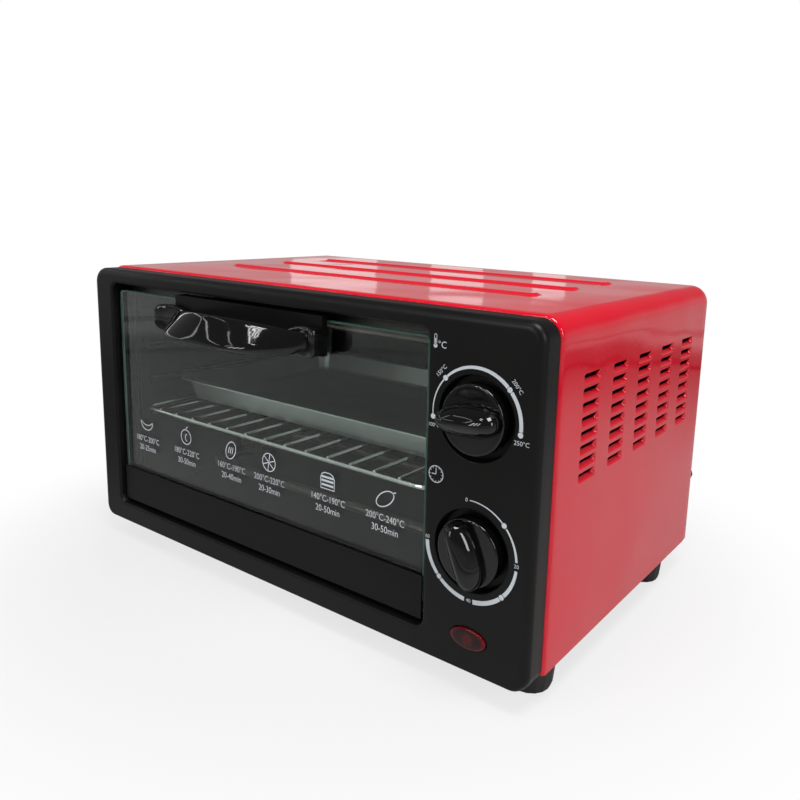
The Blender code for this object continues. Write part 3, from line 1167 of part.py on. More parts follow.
clear_scene()
make_fascia()
make_lamp()
make_shell()
make_base_pan()
make_feet()
make_rear()
make_front_frame()
make_lining()
make_heaters()
make_controls()
make_leads()
make_hinge()
dial_x = across(DIAL_FROM_LEFT)
temperature_axis = pivot("temperature_axis", (dial_x, FRONT, up(TEMPERATURE_DIAL_UP)))
make_knob("temperature_knob", TEMPERATURE_DIAL_UP, TEMPERATURE_REST_DEG, "thermostat_shaft",
          temperature_axis, CONTROL_FACE)
timer_axis = pivot("timer_axis", (dial_x, FRONT, up(TIMER_DIAL_UP)))
make_knob("timer_knob", TIMER_DIAL_UP, TIMER_REST_DEG, "timer_shaft", timer_axis, CONTROL_FACE)
make_door(pivot("door_axis", (DOOR_MIDDLE, HINGE_Y, HINGE_Z)))
cavity_middle = across((CAVITY_LEFT + CAVITY_RIGHT) / 2)
make_rack(pivot("rack_axis", (cavity_middle, back(RACK_FRONT), RACK_Z)))
make_tray(pivot("tray_axis", (cavity_middle, back(TRAY_FRONT), RACK_TOP + TOUCH_GAP)))
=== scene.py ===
"""The looks of a countertop oven: red sheet wrap, black moulded front, glass door, two dials."""

import math

import bmesh
import bpy
import numpy as np
from mathutils import Matrix, geometry


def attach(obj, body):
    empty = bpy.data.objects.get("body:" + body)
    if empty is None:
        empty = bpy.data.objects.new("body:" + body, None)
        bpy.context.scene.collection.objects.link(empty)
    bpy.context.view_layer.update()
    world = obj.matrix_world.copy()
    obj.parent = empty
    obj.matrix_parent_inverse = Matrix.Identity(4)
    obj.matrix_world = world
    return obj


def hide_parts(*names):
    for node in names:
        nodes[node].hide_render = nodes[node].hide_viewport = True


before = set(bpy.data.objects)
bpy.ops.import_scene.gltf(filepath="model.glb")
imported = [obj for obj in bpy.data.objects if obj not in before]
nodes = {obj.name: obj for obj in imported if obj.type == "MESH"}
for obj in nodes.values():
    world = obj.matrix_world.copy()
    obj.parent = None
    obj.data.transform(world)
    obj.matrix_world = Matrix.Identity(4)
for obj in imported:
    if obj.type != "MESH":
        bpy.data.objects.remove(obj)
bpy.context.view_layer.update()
MM = 0.001

# ------------------------------------------------------------
# Wrap: one red stove-enamelled sheet bent to an upside-down U. Three ribs are pressed up out of
# its top and forty louvres are pressed into its right side. Its front and rear edges are folded in.
# The back of the sheet has only its primer, dull and a little cloudy; its dark tone is also painted shade
# where it shows beside the door collar.
WRAP_SIDE, WRAP_TOP, WRAP_LOW = 181.2, 197.6, 18.0
WRAP_CORNER = 11.5
WRAP_FRONT, WRAP_REAR = -85.6, 125.7
WRAP_SHEET = 1.0
FRONT_FOLD, REAR_FOLD, FLANGE = 2.0, 1.2, 9.0
FOOT_ROUND = 3.5
RIB_PLACES = (-14.7, 34.8, 84.3)
RIB_HALF_LENGTH, RIB_HALF_WIDTH, RIB_RISE, RIB_SLOPE = 130.0, 6.5, 1.2, 3.0
LOUVRE_STARTS = tuple(-60.9 + 35.2 * column for column in range(5))
LOUVRE_TOPS = tuple(167.2 - 7.3 * row for row in range(8))
LOUVRE_LENGTH, LOUVRE_HEIGHT, SCOOP_HEIGHT, SCOOP_DEPTH, SCOOP_END = 19.5, 5.2, 2.2, 2.0, 1.4


def operator(operation):
    """A method of Reading that works out one kind of Math node with another term."""
    return lambda self, other: self.work(operation, self, other)


class Reading:
    """A number read from a socket. Arithmetic on readings adds the Math nodes that work it out."""

    __add__ = __radd__ = operator("ADD")
    __sub__, __mul__ = operator("SUBTRACT"), operator("MULTIPLY")
    __truediv__, __pow__ = operator("DIVIDE"), operator("POWER")
    __lt__ = operator("LESS_THAN")

    def __init__(self, wiring, socket):
        self.wiring, self.socket = wiring, socket

    def work(self, operation, *terms):
        """Any Math node, with readings or numbers as its terms."""
        return self.wiring.node("ShaderNodeMath", {"operation": operation}, dict(enumerate(terms)))


class Wiring:
    """The nodes of a material or of the world in the making."""

    def __init__(self, tree):
        self.tree = tree

    def node(self, kind, settings=None, inputs=None, output=0):
        """Adds one node: its settings first, then the values or readings of its sockets."""
        node = self.tree.nodes.new(kind)
        for setting, value in (settings or {}).items():
            setattr(node, setting, value)
        for socket, value in (inputs or {}).items():
            if isinstance(value, Reading):
                self.tree.links.new(value.socket, node.inputs[socket])
            else:
                node.inputs[socket].default_value = value
        return Reading(self, node.outputs[output])

    def rays(self):
        """Whether a ray comes straight from the camera, off a mirroring surface or through glass."""
        return [self.node("ShaderNodeLightPath", output="Is " + kind + " Ray")
                for kind in ("Camera", "Glossy", "Transmission")]

    def ramp(self, value, start, end, kind="SMOOTHSTEP"):
        """A share that goes from 0 to 1 as the value goes from start to end."""
        span = {0: value, 1: start, 2: end}
        return self.node("ShaderNodeMapRange", {"interpolation_type": kind}, span)


class Finish(Wiring):
    """A surface finish in the making: a material, its Principled shader and the nodes that feed it."""

    def __init__(self, name, **fixed):
        self.material = bpy.data.materials.new(name)
        self.material.use_nodes = True
        super().__init__(self.material.node_tree)
        self.shader = next(node for node in self.tree.nodes if node.type == "BSDF_PRINCIPLED")
        for socket, value in fixed.items():
            self.shader.inputs[socket.replace("_", " ")].default_value = value

    def place(self):
        return self.node("ShaderNodeTexCoord", output="Object")

    def distance(self, middle):
        """How far a point of the object is from a place, in metres."""
        places = {0: self.place(), 1: middle}
        return self.node("ShaderNodeVectorMath", {"operation": "DISTANCE"}, places, "Value")

    def grain(self, size, detail=2.0, roughness=0.5):
        """Soft noise from 0 to 1 whose lumps are about size metres across."""
        inputs = {"Vector": self.place(), "Scale": 1 / size, "Detail": detail, "Roughness": roughness}
        return self.node("ShaderNodeTexNoise", None, inputs)

    def between(self, share, *colours):
        """A colour between two others, painted or read, by a share from 0 to 1."""
        low, high = [colour if isinstance(colour, Reading) else paint(*colour) for colour in colours]
        return self.node("ShaderNodeMix", {"data_type": "RGBA"}, {0: share, 6: low, 7: high}, 2)

    def bumped(self, height, depth, below=None):
        """A bump of that depth in metres, laid over another bump where one is given."""
        inputs = {"Height": height, "Distance": depth, "Strength": 1.0}
        if below is not None:
            inputs["Normal"] = below
        return self.node("ShaderNodeBump", None, inputs)

    def feed(self, **sockets):
        """Links readings to the shader's sockets and gives the finished material."""
        for socket, value in sockets.items():
            self.tree.links.new(value.socket, self.shader.inputs[socket.replace("_", " ")])
        return self.material


def paint(red, green, blue):
    """A colour as it looks on a screen, 0 to 255, in the linear numbers that shaders take."""
    parts = np.array((red, green, blue)) / 255
    linear = np.where(parts <= 0.04045, parts / 12.92, ((parts + 0.055) / 1.055) ** 2.4)
    return (*linear.tolist(), 1.0)


def grid_faces(rows, columns, looped=False):
    """Four-sided faces of a grid of points numbered row by row. A looped grid joins its last column
    to its first."""
    across = columns if looped else columns - 1
    start = np.arange(rows - 1)[:, None] * columns
    left = np.arange(across)[None, :]
    right = (left + 1) % columns
    return np.stack([start + left, start + columns + left, start + columns + right, start + right], 2)


def formed(name, sheets, finish, sharp=35.0, weld=True):
    """One object of several sheets, each of points in mm and faces. Sheets that share an edge are welded
    there, and the faces of the closed body turned outwards."""
    points, faces, start = [], [], 0
    for sheet_points, sheet_faces in sheets:
        flat = np.asarray(sheet_points, float).reshape(-1, 3)
        corners = np.asarray(sheet_faces)
        points.append(flat)
        faces += (corners.reshape(-1, corners.shape[-1]) + start).tolist()
        start += len(flat)
    mesh = bpy.data.meshes.new(name)
    mesh.from_pydata((np.concatenate(points) * MM).tolist(), [], faces)
    if weld:
        body = bmesh.new()
        body.from_mesh(mesh)
        bmesh.ops.remove_doubles(body, verts=body.verts, dist=2e-6)
        bmesh.ops.recalc_face_normals(body, faces=body.faces)
        body.to_mesh(mesh)
        body.free()
    mesh.polygons.foreach_set("use_smooth", np.ones(len(mesh.polygons), bool))
    mesh.set_sharp_from_angle(angle=math.radians(sharp))
    mesh.materials.append(finish)
    piece = bpy.data.objects.new(name, mesh)
    bpy.context.scene.collection.objects.link(piece)
    return piece


def wrap_line():
    """The upside-down U from the left foot over the top to the right foot: its points (x, z) and the
    outward direction at each. Straight stretches have a line wherever something is pressed in."""
    turn = np.radians(np.linspace(0, 90, 11))
    centre_x, centre_z = WRAP_SIDE - WRAP_CORNER, WRAP_TOP - WRAP_CORNER
    end = np.linspace(RIB_HALF_LENGTH + 1, RIB_HALF_LENGTH - 14, 19)
    top = np.concatenate([-end, [-90, -60, -30, 0, 30, 60, 90], end[::-1]])
    scoop = np.array([-0.4, 0, 0.2, 0.45, 0.8, 1.25, 1.8, SCOOP_HEIGHT,
                      LOUVRE_HEIGHT, LOUVRE_HEIGHT + 0.4])
    slots = (np.array(LOUVRE_TOPS)[:, None] - LOUVRE_HEIGHT + scoop[::-1]).ravel()
    left = np.array([WRAP_LOW, 20, 23, 30, 60, 100, 140, 170])
    right = np.concatenate([[180, 172], slots, [100, 80, 60, 40, 30, 23, 20, WRAP_LOW]])
    parts = [
        np.broadcast_arrays(-WRAP_SIDE, left, -1.0, 0.0),
        (-centre_x - WRAP_CORNER * np.cos(turn), centre_z + WRAP_CORNER * np.sin(turn),
         -np.cos(turn), np.sin(turn)),
        np.broadcast_arrays(top, WRAP_TOP, 0.0, 1.0),
        (centre_x + WRAP_CORNER * np.sin(turn), centre_z + WRAP_CORNER * np.cos(turn),
         np.sin(turn), np.cos(turn)),
        np.broadcast_arrays(WRAP_SIDE, right, 1.0, 0.0),
    ]
    return [np.concatenate(column) for column in zip(*parts)]


def wrap_depths():
    """Stations from front to rear: the place along y and how far the sheet is folded in there. Each fold
    is a quarter circle from the flange to the flat of the side."""
    turn = np.radians(np.linspace(0, 90, 6))
    across = np.array([0, 0.3, 0.8, 1.5, 2.5, 3.3, 4.1, 5.2, RIB_HALF_WIDTH])
    ribs = [place + np.concatenate([-across[:0:-1], across]) for place in RIB_PLACES]
    end = np.array([-0.4, 0, 0.15, 0.35, 0.6, 0.95, SCOOP_END, 2.6])
    louvres = [start + np.concatenate([end, [6.0, 9.75, 13.5], LOUVRE_LENGTH - end[::-1]])
               for start in LOUVRE_STARTS]
    flat = np.unique(np.round(np.concatenate(ribs + louvres + [[-80.0, -72.0, 110.0, 118.0]]), 4))
    front = (WRAP_FRONT + FRONT_FOLD * (1 - np.cos(turn)), FRONT_FOLD * (1 - np.sin(turn)))
    rear = (WRAP_REAR - REAR_FOLD * (1 - np.sin(turn)), REAR_FOLD * (1 - np.cos(turn)))
    place = np.concatenate([[WRAP_FRONT, WRAP_FRONT], front[0], flat, rear[0], [WRAP_REAR, WRAP_REAR]])
    fold = np.concatenate([[FLANGE, 5.0], front[1], np.zeros(len(flat)), rear[1], [5.0, FLANGE]])
    return place, fold


def wrap_sheet():
    """Outer face of the wrap: P = line - direction * (fold - rib rise + scoop). The rib rise is a smooth
    step of the distance to the rib's middle line. The scoop deepens as a power of the distance in from
    the louvre's lower edge and its two ends, which meet in round corners. The faces above the deepest
    part are left out: that is the slot."""
    x, z, out_x, out_z = [column[:, None] for column in wrap_line()]
    y, fold = [column[None, :] for column in wrap_depths()]
    rise = np.zeros(np.broadcast(x, y).shape)
    for place in RIB_PLACES:
        beyond = np.maximum(np.abs(x) - (RIB_HALF_LENGTH - RIB_HALF_WIDTH), 0)
        share = np.clip((RIB_HALF_WIDTH - np.hypot(beyond, y - place)) / RIB_SLOPE, 0, 1)
        rise += RIB_RISE * share * share * (3 - 2 * share) * (out_z > 0.999)
    scoop = np.zeros_like(rise)
    side = out_x > 0.999
    for start in LOUVRE_STARTS:
        end = np.minimum(y - start, start + LOUVRE_LENGTH - y)
        for top in LOUVRE_TOPS:
            up = z - (top - LOUVRE_HEIGHT)
            inside = side & (end > -1e-6) & (up > -1e-6) & (up < SCOOP_HEIGHT + 1e-6)
            share = 1 - np.hypot(np.clip(1 - end / SCOOP_END, 0, 1),
                                 np.clip(1 - up / SCOOP_HEIGHT, 0, 1))
            scoop = np.where(inside, SCOOP_DEPTH * np.maximum(share, 0) ** 1.3, scoop)
    inset = fold - rise + scoop
    near_rear = np.clip((y - (WRAP_REAR - FOOT_ROUND)) / FOOT_ROUND, 0, 1)
    lifted = FOOT_ROUND * (1 - np.sqrt(1 - near_rear ** 2)) * np.clip(1 - (z - WRAP_LOW) / 12, 0, 1)
    points = np.stack([x - out_x * inset, y + 0 * x, z + lifted - out_z * inset], 2)
    rows, columns = points.shape[:2]
    faces = grid_faces(rows, columns)
    mid_z = (z[:-1] + z[1:]) / 2
    mid_y = (y[:, :-1] + y[:, 1:]) / 2
    open_z = np.any([(mid_z > top - LOUVRE_HEIGHT + SCOOP_HEIGHT) & (mid_z < top)
                     for top in LOUVRE_TOPS], 0)
    open_y = np.any([(mid_y > start + SCOOP_END) & (mid_y < start + LOUVRE_LENGTH - SCOOP_END)
                     for start in LOUVRE_STARTS], 0)
    slot = open_z & (out_x[:-1] > 0.999) & (out_x[1:] > 0.999) & open_y
    return points, faces[~slot]


def red_enamel():
    """Stove enamel: saturated red with its own gloss, a fine orange peel and slow waves of the sheet
    that bend what it mirrors."""
    finish = Finish("red_stove_enamel", Specular_IOR_Level=0.55)
    cloud = finish.grain(0.06)
    colour = finish.between(cloud, (196, 2, 30), (206, 4, 36))
    waves = finish.bumped(finish.grain(0.075, 1.0), 0.0018)
    peel = finish.bumped(finish.grain(0.0035, 1.0), 0.00002, waves)
    rough = 0.06 + cloud * 0.05
    return finish.feed(Base_Color=colour, Roughness=rough, Normal=peel)


def mottled(name, low, high, cloud, rough=None, grain=None, **fixed):
    """A finish whose colour follows one soft noise, and its roughness too where rough gives a base and a
    swing. Cloud is that noise's size and detail; grain is the size, detail and depth of a finer bump."""
    finish = Finish(name, **fixed)
    tone = finish.grain(*cloud)
    sockets = {"Base_Color": finish.between(tone, low, high)}
    if rough:
        sockets["Roughness"] = rough[0] + tone * rough[1]
    if grain:
        sockets["Normal"] = finish.bumped(finish.grain(*grain[:2]), grain[2])
    return finish.feed(**sockets)


def settled(piece, sharp):
    """Turns the piece's modifiers into mesh and marks the edges that bend more than an angle."""
    mesh = bpy.data.meshes.new_from_object(piece.evaluated_get(bpy.context.evaluated_depsgraph_get()))
    mesh.name = piece.name
    piece.modifiers.clear()
    piece.data = mesh
    mesh.set_sharp_from_angle(angle=math.radians(sharp))


# Primer, kept dark as painted shade where the wrap's back shows beside the door collar.
PRIMER_AND_SHADE = mottled("primer_and_painted_shade", (34, 32, 32), (46, 44, 44), (0.02,), (0.6, 0.15), Specular_IOR_Level=0.2)
wrap = formed("red_wrap", [wrap_sheet()], red_enamel(), weld=False)
wall = wrap.modifiers.new("sheet", "SOLIDIFY")
wall.thickness, wall.offset = WRAP_SHEET * MM, -1.0
wall.material_offset = 1
wrap.data.materials.append(PRIMER_AND_SHADE)
settled(wrap, 75)
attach(wrap, "oven")
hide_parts("shell")

# ------------------------------------------------------------
# Front frame: one injection moulding in satin black, with a rolled outer edge, the door opening with
# a collar behind it, two round wells for the dials and an oval hole for the lamp.
FRONT = -100.7
FRAME_HALF, FRAME_LOW, FRAME_HIGH, FRAME_CORNER = 180.0, 12.7, 196.4, 10.0
FRAME_ROLL, FRAME_WALL, FRAME_DEPTH = 4.5, 2.5, 14.8
LOW_TIGHTENING = 0.6
DOOR_HOLE = (-159.0, 116.5, 27.0, 187.0, 6.0)
COLLAR, CHAMFER = 15.9, 1.5
DIAL_X, TEMPERATURE_Z, TIMER_Z = 144.9, 146.234, 78.921
WELL, WELL_FLOOR, SHAFT_HOLE = 21.5, 6.0, 4.2
LAMP_X, LAMP_Z, LAMP_HALF_X, LAMP_HALF_Z = 145.7, 32.3, 10.8, 5.8


def rounded_ring(left, right, low, high, corner, inset, y):
    """A rounded rectangle facing the front, moved in by inset: four quarter circles, centres fixed."""
    turn = np.radians(np.concatenate([np.linspace(start, start + 90, 9) for start in (0, 90, 180, 270)]))
    centre_x = np.repeat([right - corner, left + corner, left + corner, right - corner], 9)
    centre_z = np.repeat([high - corner, high - corner, low + corner, low + corner], 9)
    radius = corner - inset
    x, z = centre_x + radius * np.cos(turn), centre_z + radius * np.sin(turn)
    return np.stack([x, np.full(36, y), z], 1)


def rolled_ring(inset, y):
    """A ring of the rolled outer edge; the lower side rolls tighter and moves in by a share only."""
    low = FRAME_LOW - LOW_TIGHTENING * inset
    return rounded_ring(-FRAME_HALF, FRAME_HALF, low, FRAME_HIGH, FRAME_CORNER, inset, y)


def oval_ring(x, z, half_x, half_z, y, count=64):
    """An oval facing the front."""
    turn = np.arange(count) * math.tau / count
    return np.stack([x + half_x * np.cos(turn), np.full(count, y), z + half_z * np.sin(turn)], 1)


def band(rings):
    """The sheet through a row of closed rings."""
    rows = np.stack(rings)
    return rows, grid_faces(*rows.shape[:2], looped=True)


def capped(rows):
    """The sheet through rings, closed at both ends by a point in the middle of the last ring."""
    ends = rows[[0, -1]].mean(1, keepdims=True) + np.zeros_like(rows[:2])
    return band(np.concatenate([ends[:1], rows, ends[1:]]))


def inside(places, ring):
    """Whether each place (x, z) is inside a closed ring, by counting the edges that a ray crosses."""
    start, end = ring, np.roll(ring, -1, 0)
    x, z = places[:, None, 0], places[:, None, 1]
    spans = (start[:, 1] > z) != (end[:, 1] > z)
    rise = np.where(end[:, 1] == start[:, 1], 1, end[:, 1] - start[:, 1])
    crossing = start[:, 0] + (z - start[:, 1]) * (end[:, 0] - start[:, 0]) / rise
    return (spans & (x < crossing)).sum(1) % 2 == 1


def flat_sheet(outer, holes):
    """A flat sheet between one outer ring and the rings of its holes, cut into triangles."""
    rings = [outer] + holes
    flat = np.concatenate(rings)[:, [0, 2]]
    edges, start = [], 0
    for ring in rings:
        count = len(ring)
        edges += [(start + index, start + (index + 1) % count) for index in range(count)]
        start += count
    places, _, faces, *_ = geometry.delaunay_2d_cdt(flat.tolist(), edges, [], 1, 1e-6)
    places = np.array([tuple(place) for place in places])
    faces = np.array(faces)
    middle = places[faces].mean(1)
    keep = np.ones(len(faces), bool)
    for hole in holes:
        keep &= ~inside(middle, hole[:, [0, 2]])
    return np.insert(places, 1, outer[0, 1], 1), faces[keep]


def front_frame():
    """Outer roll: inset = roll(1 - sin a), depth = roll(1 - cos a). Every hole is a row of rings that
    starts on the front sheet and ends on the one behind it, so that the body is closed."""
    outline = (-FRAME_HALF, FRAME_HALF, FRAME_LOW, FRAME_HIGH, FRAME_CORNER)
    turn = np.radians(np.linspace(0, 90, 10))
    back = FRONT + FRAME_WALL
    outer = [rolled_ring(FRAME_ROLL + 0.7, FRONT)]
    outer += [rolled_ring(FRAME_ROLL * (1 - math.sin(a)), FRONT + FRAME_ROLL * (1 - math.cos(a)))
              for a in turn]
    outer += [rounded_ring(*outline, 0, FRONT + FRAME_DEPTH - 0.4),
              rounded_ring(*outline, 0.4, FRONT + FRAME_DEPTH),
              rounded_ring(*outline, FRAME_WALL - 0.3, FRONT + FRAME_DEPTH),
              rounded_ring(*outline, FRAME_WALL, FRONT + FRAME_DEPTH - 0.3),
              rounded_ring(*outline, FRAME_WALL, back)]
    door = [rounded_ring(*DOOR_HOLE, -CHAMFER - 0.5, FRONT)]
    door += [rounded_ring(*DOOR_HOLE, -CHAMFER * (1 - math.sin(a)), FRONT + CHAMFER * (1 - math.cos(a)))
             for a in turn[::3]]
    door += [rounded_ring(*DOOR_HOLE, 0, FRONT + COLLAR - 0.3),
             rounded_ring(*DOOR_HOLE, -0.3, FRONT + COLLAR),
             rounded_ring(*DOOR_HOLE, -FRAME_WALL, FRONT + COLLAR),
             rounded_ring(*DOOR_HOLE, -FRAME_WALL, back)]
    bands, front_holes, back_holes = [band(outer), band(door)], [door[0]], [door[-1]]
    for z in (TEMPERATURE_Z, TIMER_Z):
        stations = ((WELL + 1.0, 0), (WELL + 0.5, 0), (WELL + 0.15, 0.15), (WELL, 0.5),
                    (WELL, WELL_FLOOR - 0.8), (WELL - 0.8, WELL_FLOOR), (SHAFT_HOLE, WELL_FLOOR),
                    (SHAFT_HOLE, WELL_FLOOR + FRAME_WALL), (WELL + FRAME_WALL, WELL_FLOOR + FRAME_WALL),
                    (WELL + FRAME_WALL, FRAME_WALL))
        rings = [oval_ring(DIAL_X, z, radius, radius, FRONT + depth) for radius, depth in stations]
        bands.append(band(rings))
        front_holes.append(rings[0])
        back_holes.append(rings[-1])
    stations = ((0.9, 0), (0.45, 0), (0.12, 0.15), (0, 0.5), (0, FRAME_WALL))
    lamp = [oval_ring(LAMP_X, LAMP_Z, LAMP_HALF_X + grow, LAMP_HALF_Z + grow, FRONT + depth)
            for grow, depth in stations]
    bands.append(band(lamp))
    front_holes.append(lamp[0])
    back_holes.append(lamp[-1])
    return bands + [flat_sheet(outer[0], front_holes), flat_sheet(outer[-1], back_holes)]


def moulded_black(name, shade, roughness, grain_depth, **fixed):
    """Moulded plastic: near black, with the fine spark-eroded grain of its mould and faint handling
    marks in the gloss."""
    finish = Finish(name, **fixed)
    worn = finish.grain(0.045, 3.0)
    grain = finish.grain(0.0009, 3.0, 0.6)
    dark, light = (shade - 2, shade - 2, shade - 2), (shade + 3, shade + 3, shade + 2)
    return finish.feed(Base_Color=finish.between(worn, dark, light),
                       Roughness=roughness - 0.06 + worn * 0.12 + grain * 0.04,
                       Normal=finish.bumped(grain, grain_depth))


SATIN_BLACK = moulded_black("satin_black_moulding", 12, 0.34, 0.00003, Specular_IOR_Level=0.18)
moulding = formed("front_moulding", front_frame(), SATIN_BLACK)
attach(moulding, "oven")
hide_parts("fascia")

# ------------------------------------------------------------
# Dials: two push-on knobs moulded in gloss black. Each is a turned disc with a slightly domed face
# and a grip like an upturned boat across it. They sit in the wells and turn with their shafts. The gloss
# has a soft ripple from the mould and light wipe marks.
KNOB, KNOB_REAR, KNOB_FACE, KNOB_DOME = 17.7, -95.2, -104.2, 0.5
GRIP_HALF_LENGTH, GRIP_HALF_WIDTH, GRIP_TOP = 17.2, 8.5, -115.2
GRIP_START, GRIP_TAPER, GRIP_FULLNESS = -103.9, 1.4, 0.82
DIALS = (("temperature_dial", "temperature_knob", TEMPERATURE_Z, 184.5, "temperature_control"),
         ("timer_dial", "timer_knob", TIMER_Z, 112.0, "timer_control"))


def knob_disc(z):
    """A profile (radius, y) turned round the dial's axis; the face rises as 1 - (r/R)^2."""
    rim = [(0.0, KNOB_REAR), (KNOB - 0.6, KNOB_REAR), (KNOB, KNOB_REAR - 0.6), (KNOB, KNOB_FACE + 1.0),
           (KNOB - 0.15, KNOB_FACE + 0.5), (KNOB - 0.5, KNOB_FACE + 0.15), (KNOB - 1.0, KNOB_FACE)]
    face = [(share * (KNOB - 1.4), KNOB_FACE - KNOB_DOME * (1 - share ** 2))
            for share in np.linspace(1, 0, 9)]
    return band([oval_ring(DIAL_X, z, radius, radius, y, 96) for radius, y in rim + face])


def soft_square(count, power):
    """A square with soft corners round a middle, as cos and sin to a power, from -1 to 1 each way."""
    turn = np.arange(count) * math.tau / count
    cos, sin = np.cos(turn), np.sin(turn)
    return np.sign(cos) * np.abs(cos) ** power, np.sign(sin) * np.abs(sin) ** power


def knob_grip(z, degrees):
    """An upturned boat: at angle a round and level t, length = L (1 - sin^4 t)^0.35 and width =
    W cos^1.4 t, while the height is H sin t. The plan is a fuller oval, cos and sin to a power."""
    level = np.radians(np.concatenate([[0], np.linspace(4, 84, 21), [87, 89, 90]]))[:, None]
    along, beside = soft_square(96, GRIP_FULLNESS)
    length = GRIP_HALF_LENGTH * np.maximum(1 - np.sin(level) ** 4, 0) ** 0.35 * along
    width = GRIP_HALF_WIDTH * np.maximum(np.cos(level), 0) ** GRIP_TAPER * beside
    height = GRIP_START + (GRIP_TOP - GRIP_START) * np.sin(level) + 0 * length
    turn = math.radians(degrees)
    x = DIAL_X + length * math.cos(turn) - width * math.sin(turn)
    up = z + length * math.sin(turn) + width * math.cos(turn)
    rows = np.stack([x, height, up], 2)
    hub = np.broadcast_to([DIAL_X, GRIP_START, z], rows[:1].shape)
    return band(np.concatenate([hub, rows]))


GLOSS_BLACK = mottled("gloss_black_moulding", (5, 5, 6), (9, 9, 10), (0.012, 4.0), (0.025, 0.05),
                      (0.006, 1.0, 0.00005), Specular_IOR_Level=0.42)
for name, node, z, degrees, body in DIALS:
    dial = formed(name, [knob_disc(z)], GLOSS_BLACK)
    grip = formed(name + "_grip", [knob_grip(z, degrees)], GLOSS_BLACK, sharp=60)
    for piece in (dial, grip):
        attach(piece, body)
        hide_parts(node)

# ------------------------------------------------------------
# Lamp window: a clear red acrylic oval pressed into the front frame over the neon lamp. Its face is
# crowned and its back is cut in fine prisms that spread the lamp's light. Its colour holds a painted
# highlight at the rim and a painted glow over the unlit lamp behind its middle.
LENS_GAP, LENS_REAR, LENS_EDGE, LENS_CROWN = 0.3, -98.2, -101.3, -102.2


def lens():
    """Rings of an oval that shrink as cos^0.6 t while the face rises as sin t to its crown."""
    half_x, half_z = LAMP_HALF_X - LENS_GAP, LAMP_HALF_Z - LENS_GAP
    stations = [(0.01, 0.01, LENS_REAR), (half_x, half_z, LENS_REAR)]
    for t in np.radians(np.linspace(0, 90, 12)):
        share = math.cos(t) ** 0.6
        stations.append((half_x * share + 0.001, half_z * share + 0.001,
                         LENS_EDGE + (LENS_CROWN - LENS_EDGE) * math.sin(t)))
    return band([oval_ring(LAMP_X, LAMP_Z, *station, 72) for station in stations])


def red_acrylic():
    """Deep red, with a painted highlight towards the rim and a painted glow over the round lamp behind its
    middle.
    """
    finish = Finish("red_acrylic", Specular_IOR_Level=0.3)
    x, z = [finish.node("ShaderNodeSeparateXYZ", None, {0: finish.place()}, axis) for axis in "XZ"]
    across, up = (x - LAMP_X * MM) / (LAMP_HALF_X * MM), (z - LAMP_Z * MM) / (LAMP_HALF_Z * MM)
    out = (across * across + up * up) ** 0.5
    # Painted highlight: the colour lightens towards the rim. Painted glow: it lightens over the round lamp
    # behind.
    rim = finish.ramp(out, 0.72, 0.95, "LINEAR")
    round_lamp = (across * across * 3.5 + up * up) ** 0.5
    behind = finish.ramp(round_lamp, 0.75, 0.35, "LINEAR")
    painted_light = rim.work("MAXIMUM", rim * 0.9, behind * 0.45)
    prism = across.work("SINE", across * 60.0) * 0.5 + 0.5
    colour = finish.between(painted_light, (30, 1, 4), (94, 4, 12))
    return finish.feed(Base_Color=colour, Roughness=0.12 + prism * 0.05,
                       Normal=finish.bumped(prism, 0.000012))


window = formed("lamp_window", [lens()], red_acrylic())
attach(window, "oven")
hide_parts("lamp_lens")

# ------------------------------------------------------------
# Printing on the front frame: pale screen print, a little matt, with thin spots. Each dial has a scale
# of arcs that thicken and dots, with plain numbers; beside them stand a thermometer and a clock face.
PRINT_LIFT = 0.06
TEMPERATURE_SCALE, TIMER_SCALE = 25.0, 26.2
SCALE_DOT, ARC_POINTS = 1.4, 25
TEMPERATURE_ARCS = ((183.5, 139.5, 0.55, 0.75), (132.5, 47.0, 1.2, 2.0), (40.0, -3.5, 2.0, 2.0))
TIMER_ARCS = ((93.0, 48.5, 0.5, 0.8), (41.0, 4.5, 0.9, 1.3), (-5.0, -40.5, 1.5, 2.0),
              (-47.5, -84.5, 2.1, 2.5), (-95.5, -130.5, 2.3, 2.1), (-137.5, -177.5, 2.0, 2.3))
THERMOMETER_X, BULB_Z, TUBE_Z, BULB, TUBE = 120.3, 178.8, 181.8, 1.15, 0.7
CLOCK_X, CLOCK_Z, CLOCK = 122.9, 113.7, 4.3
CLOCK_MARK, CLOCK_HANDS = (3.3, 3.7, 4.1), ((0.0, 3.0), (-2.6, 0.0))


def on_front(places, y=FRONT - PRINT_LIFT):
    """Flat places (x, z) set on an upright plane."""
    flat = np.asarray(places, float).reshape(-1, 2)
    return np.insert(flat, 1, y, 1)


def printed_arc(x, z, radius, start, end, width_start, width_end):
    """Two rows of points, at the radius plus and minus half a width that grows evenly along the arc."""
    turn = np.radians(np.linspace(start, end, ARC_POINTS))
    half = np.linspace(width_start, width_end, ARC_POINTS) / 2
    rows = [np.stack([x + reach * np.cos(turn), z + reach * np.sin(turn)], 1)
            for reach in (radius + half, radius - half)]
    return on_front(np.stack(rows)), grid_faces(2, ARC_POINTS)


def printed_dot(x, z, radius, count=28):
    """A disc: a ring of points and its middle."""
    turn = np.arange(count) * math.tau / count
    ring = np.stack([x + radius * np.cos(turn), z + radius * np.sin(turn)], 1)
    rows = np.stack([np.broadcast_to([x, z], ring.shape), ring])
    return on_front(rows), grid_faces(2, count, looped=True)


def printed_line(places, width, closed=False, y=FRONT - PRINT_LIFT):
    """A line of even width: each point is moved both ways along the normal, which is the mean of the
    directions to its neighbours turned by a right angle."""
    path = np.asarray(places, float)
    if closed:
        step = np.roll(path, -1, 0) - np.roll(path, 1, 0)
    else:
        step = np.gradient(path, axis=0)
    step /= np.linalg.norm(step, axis=1, keepdims=True)
    normal = np.stack([-step[:, 1], step[:, 0]], 1) * width / 2
    rows = np.stack([path + normal, path - normal])
    return on_front(rows, y), grid_faces(2, len(path), looped=closed)


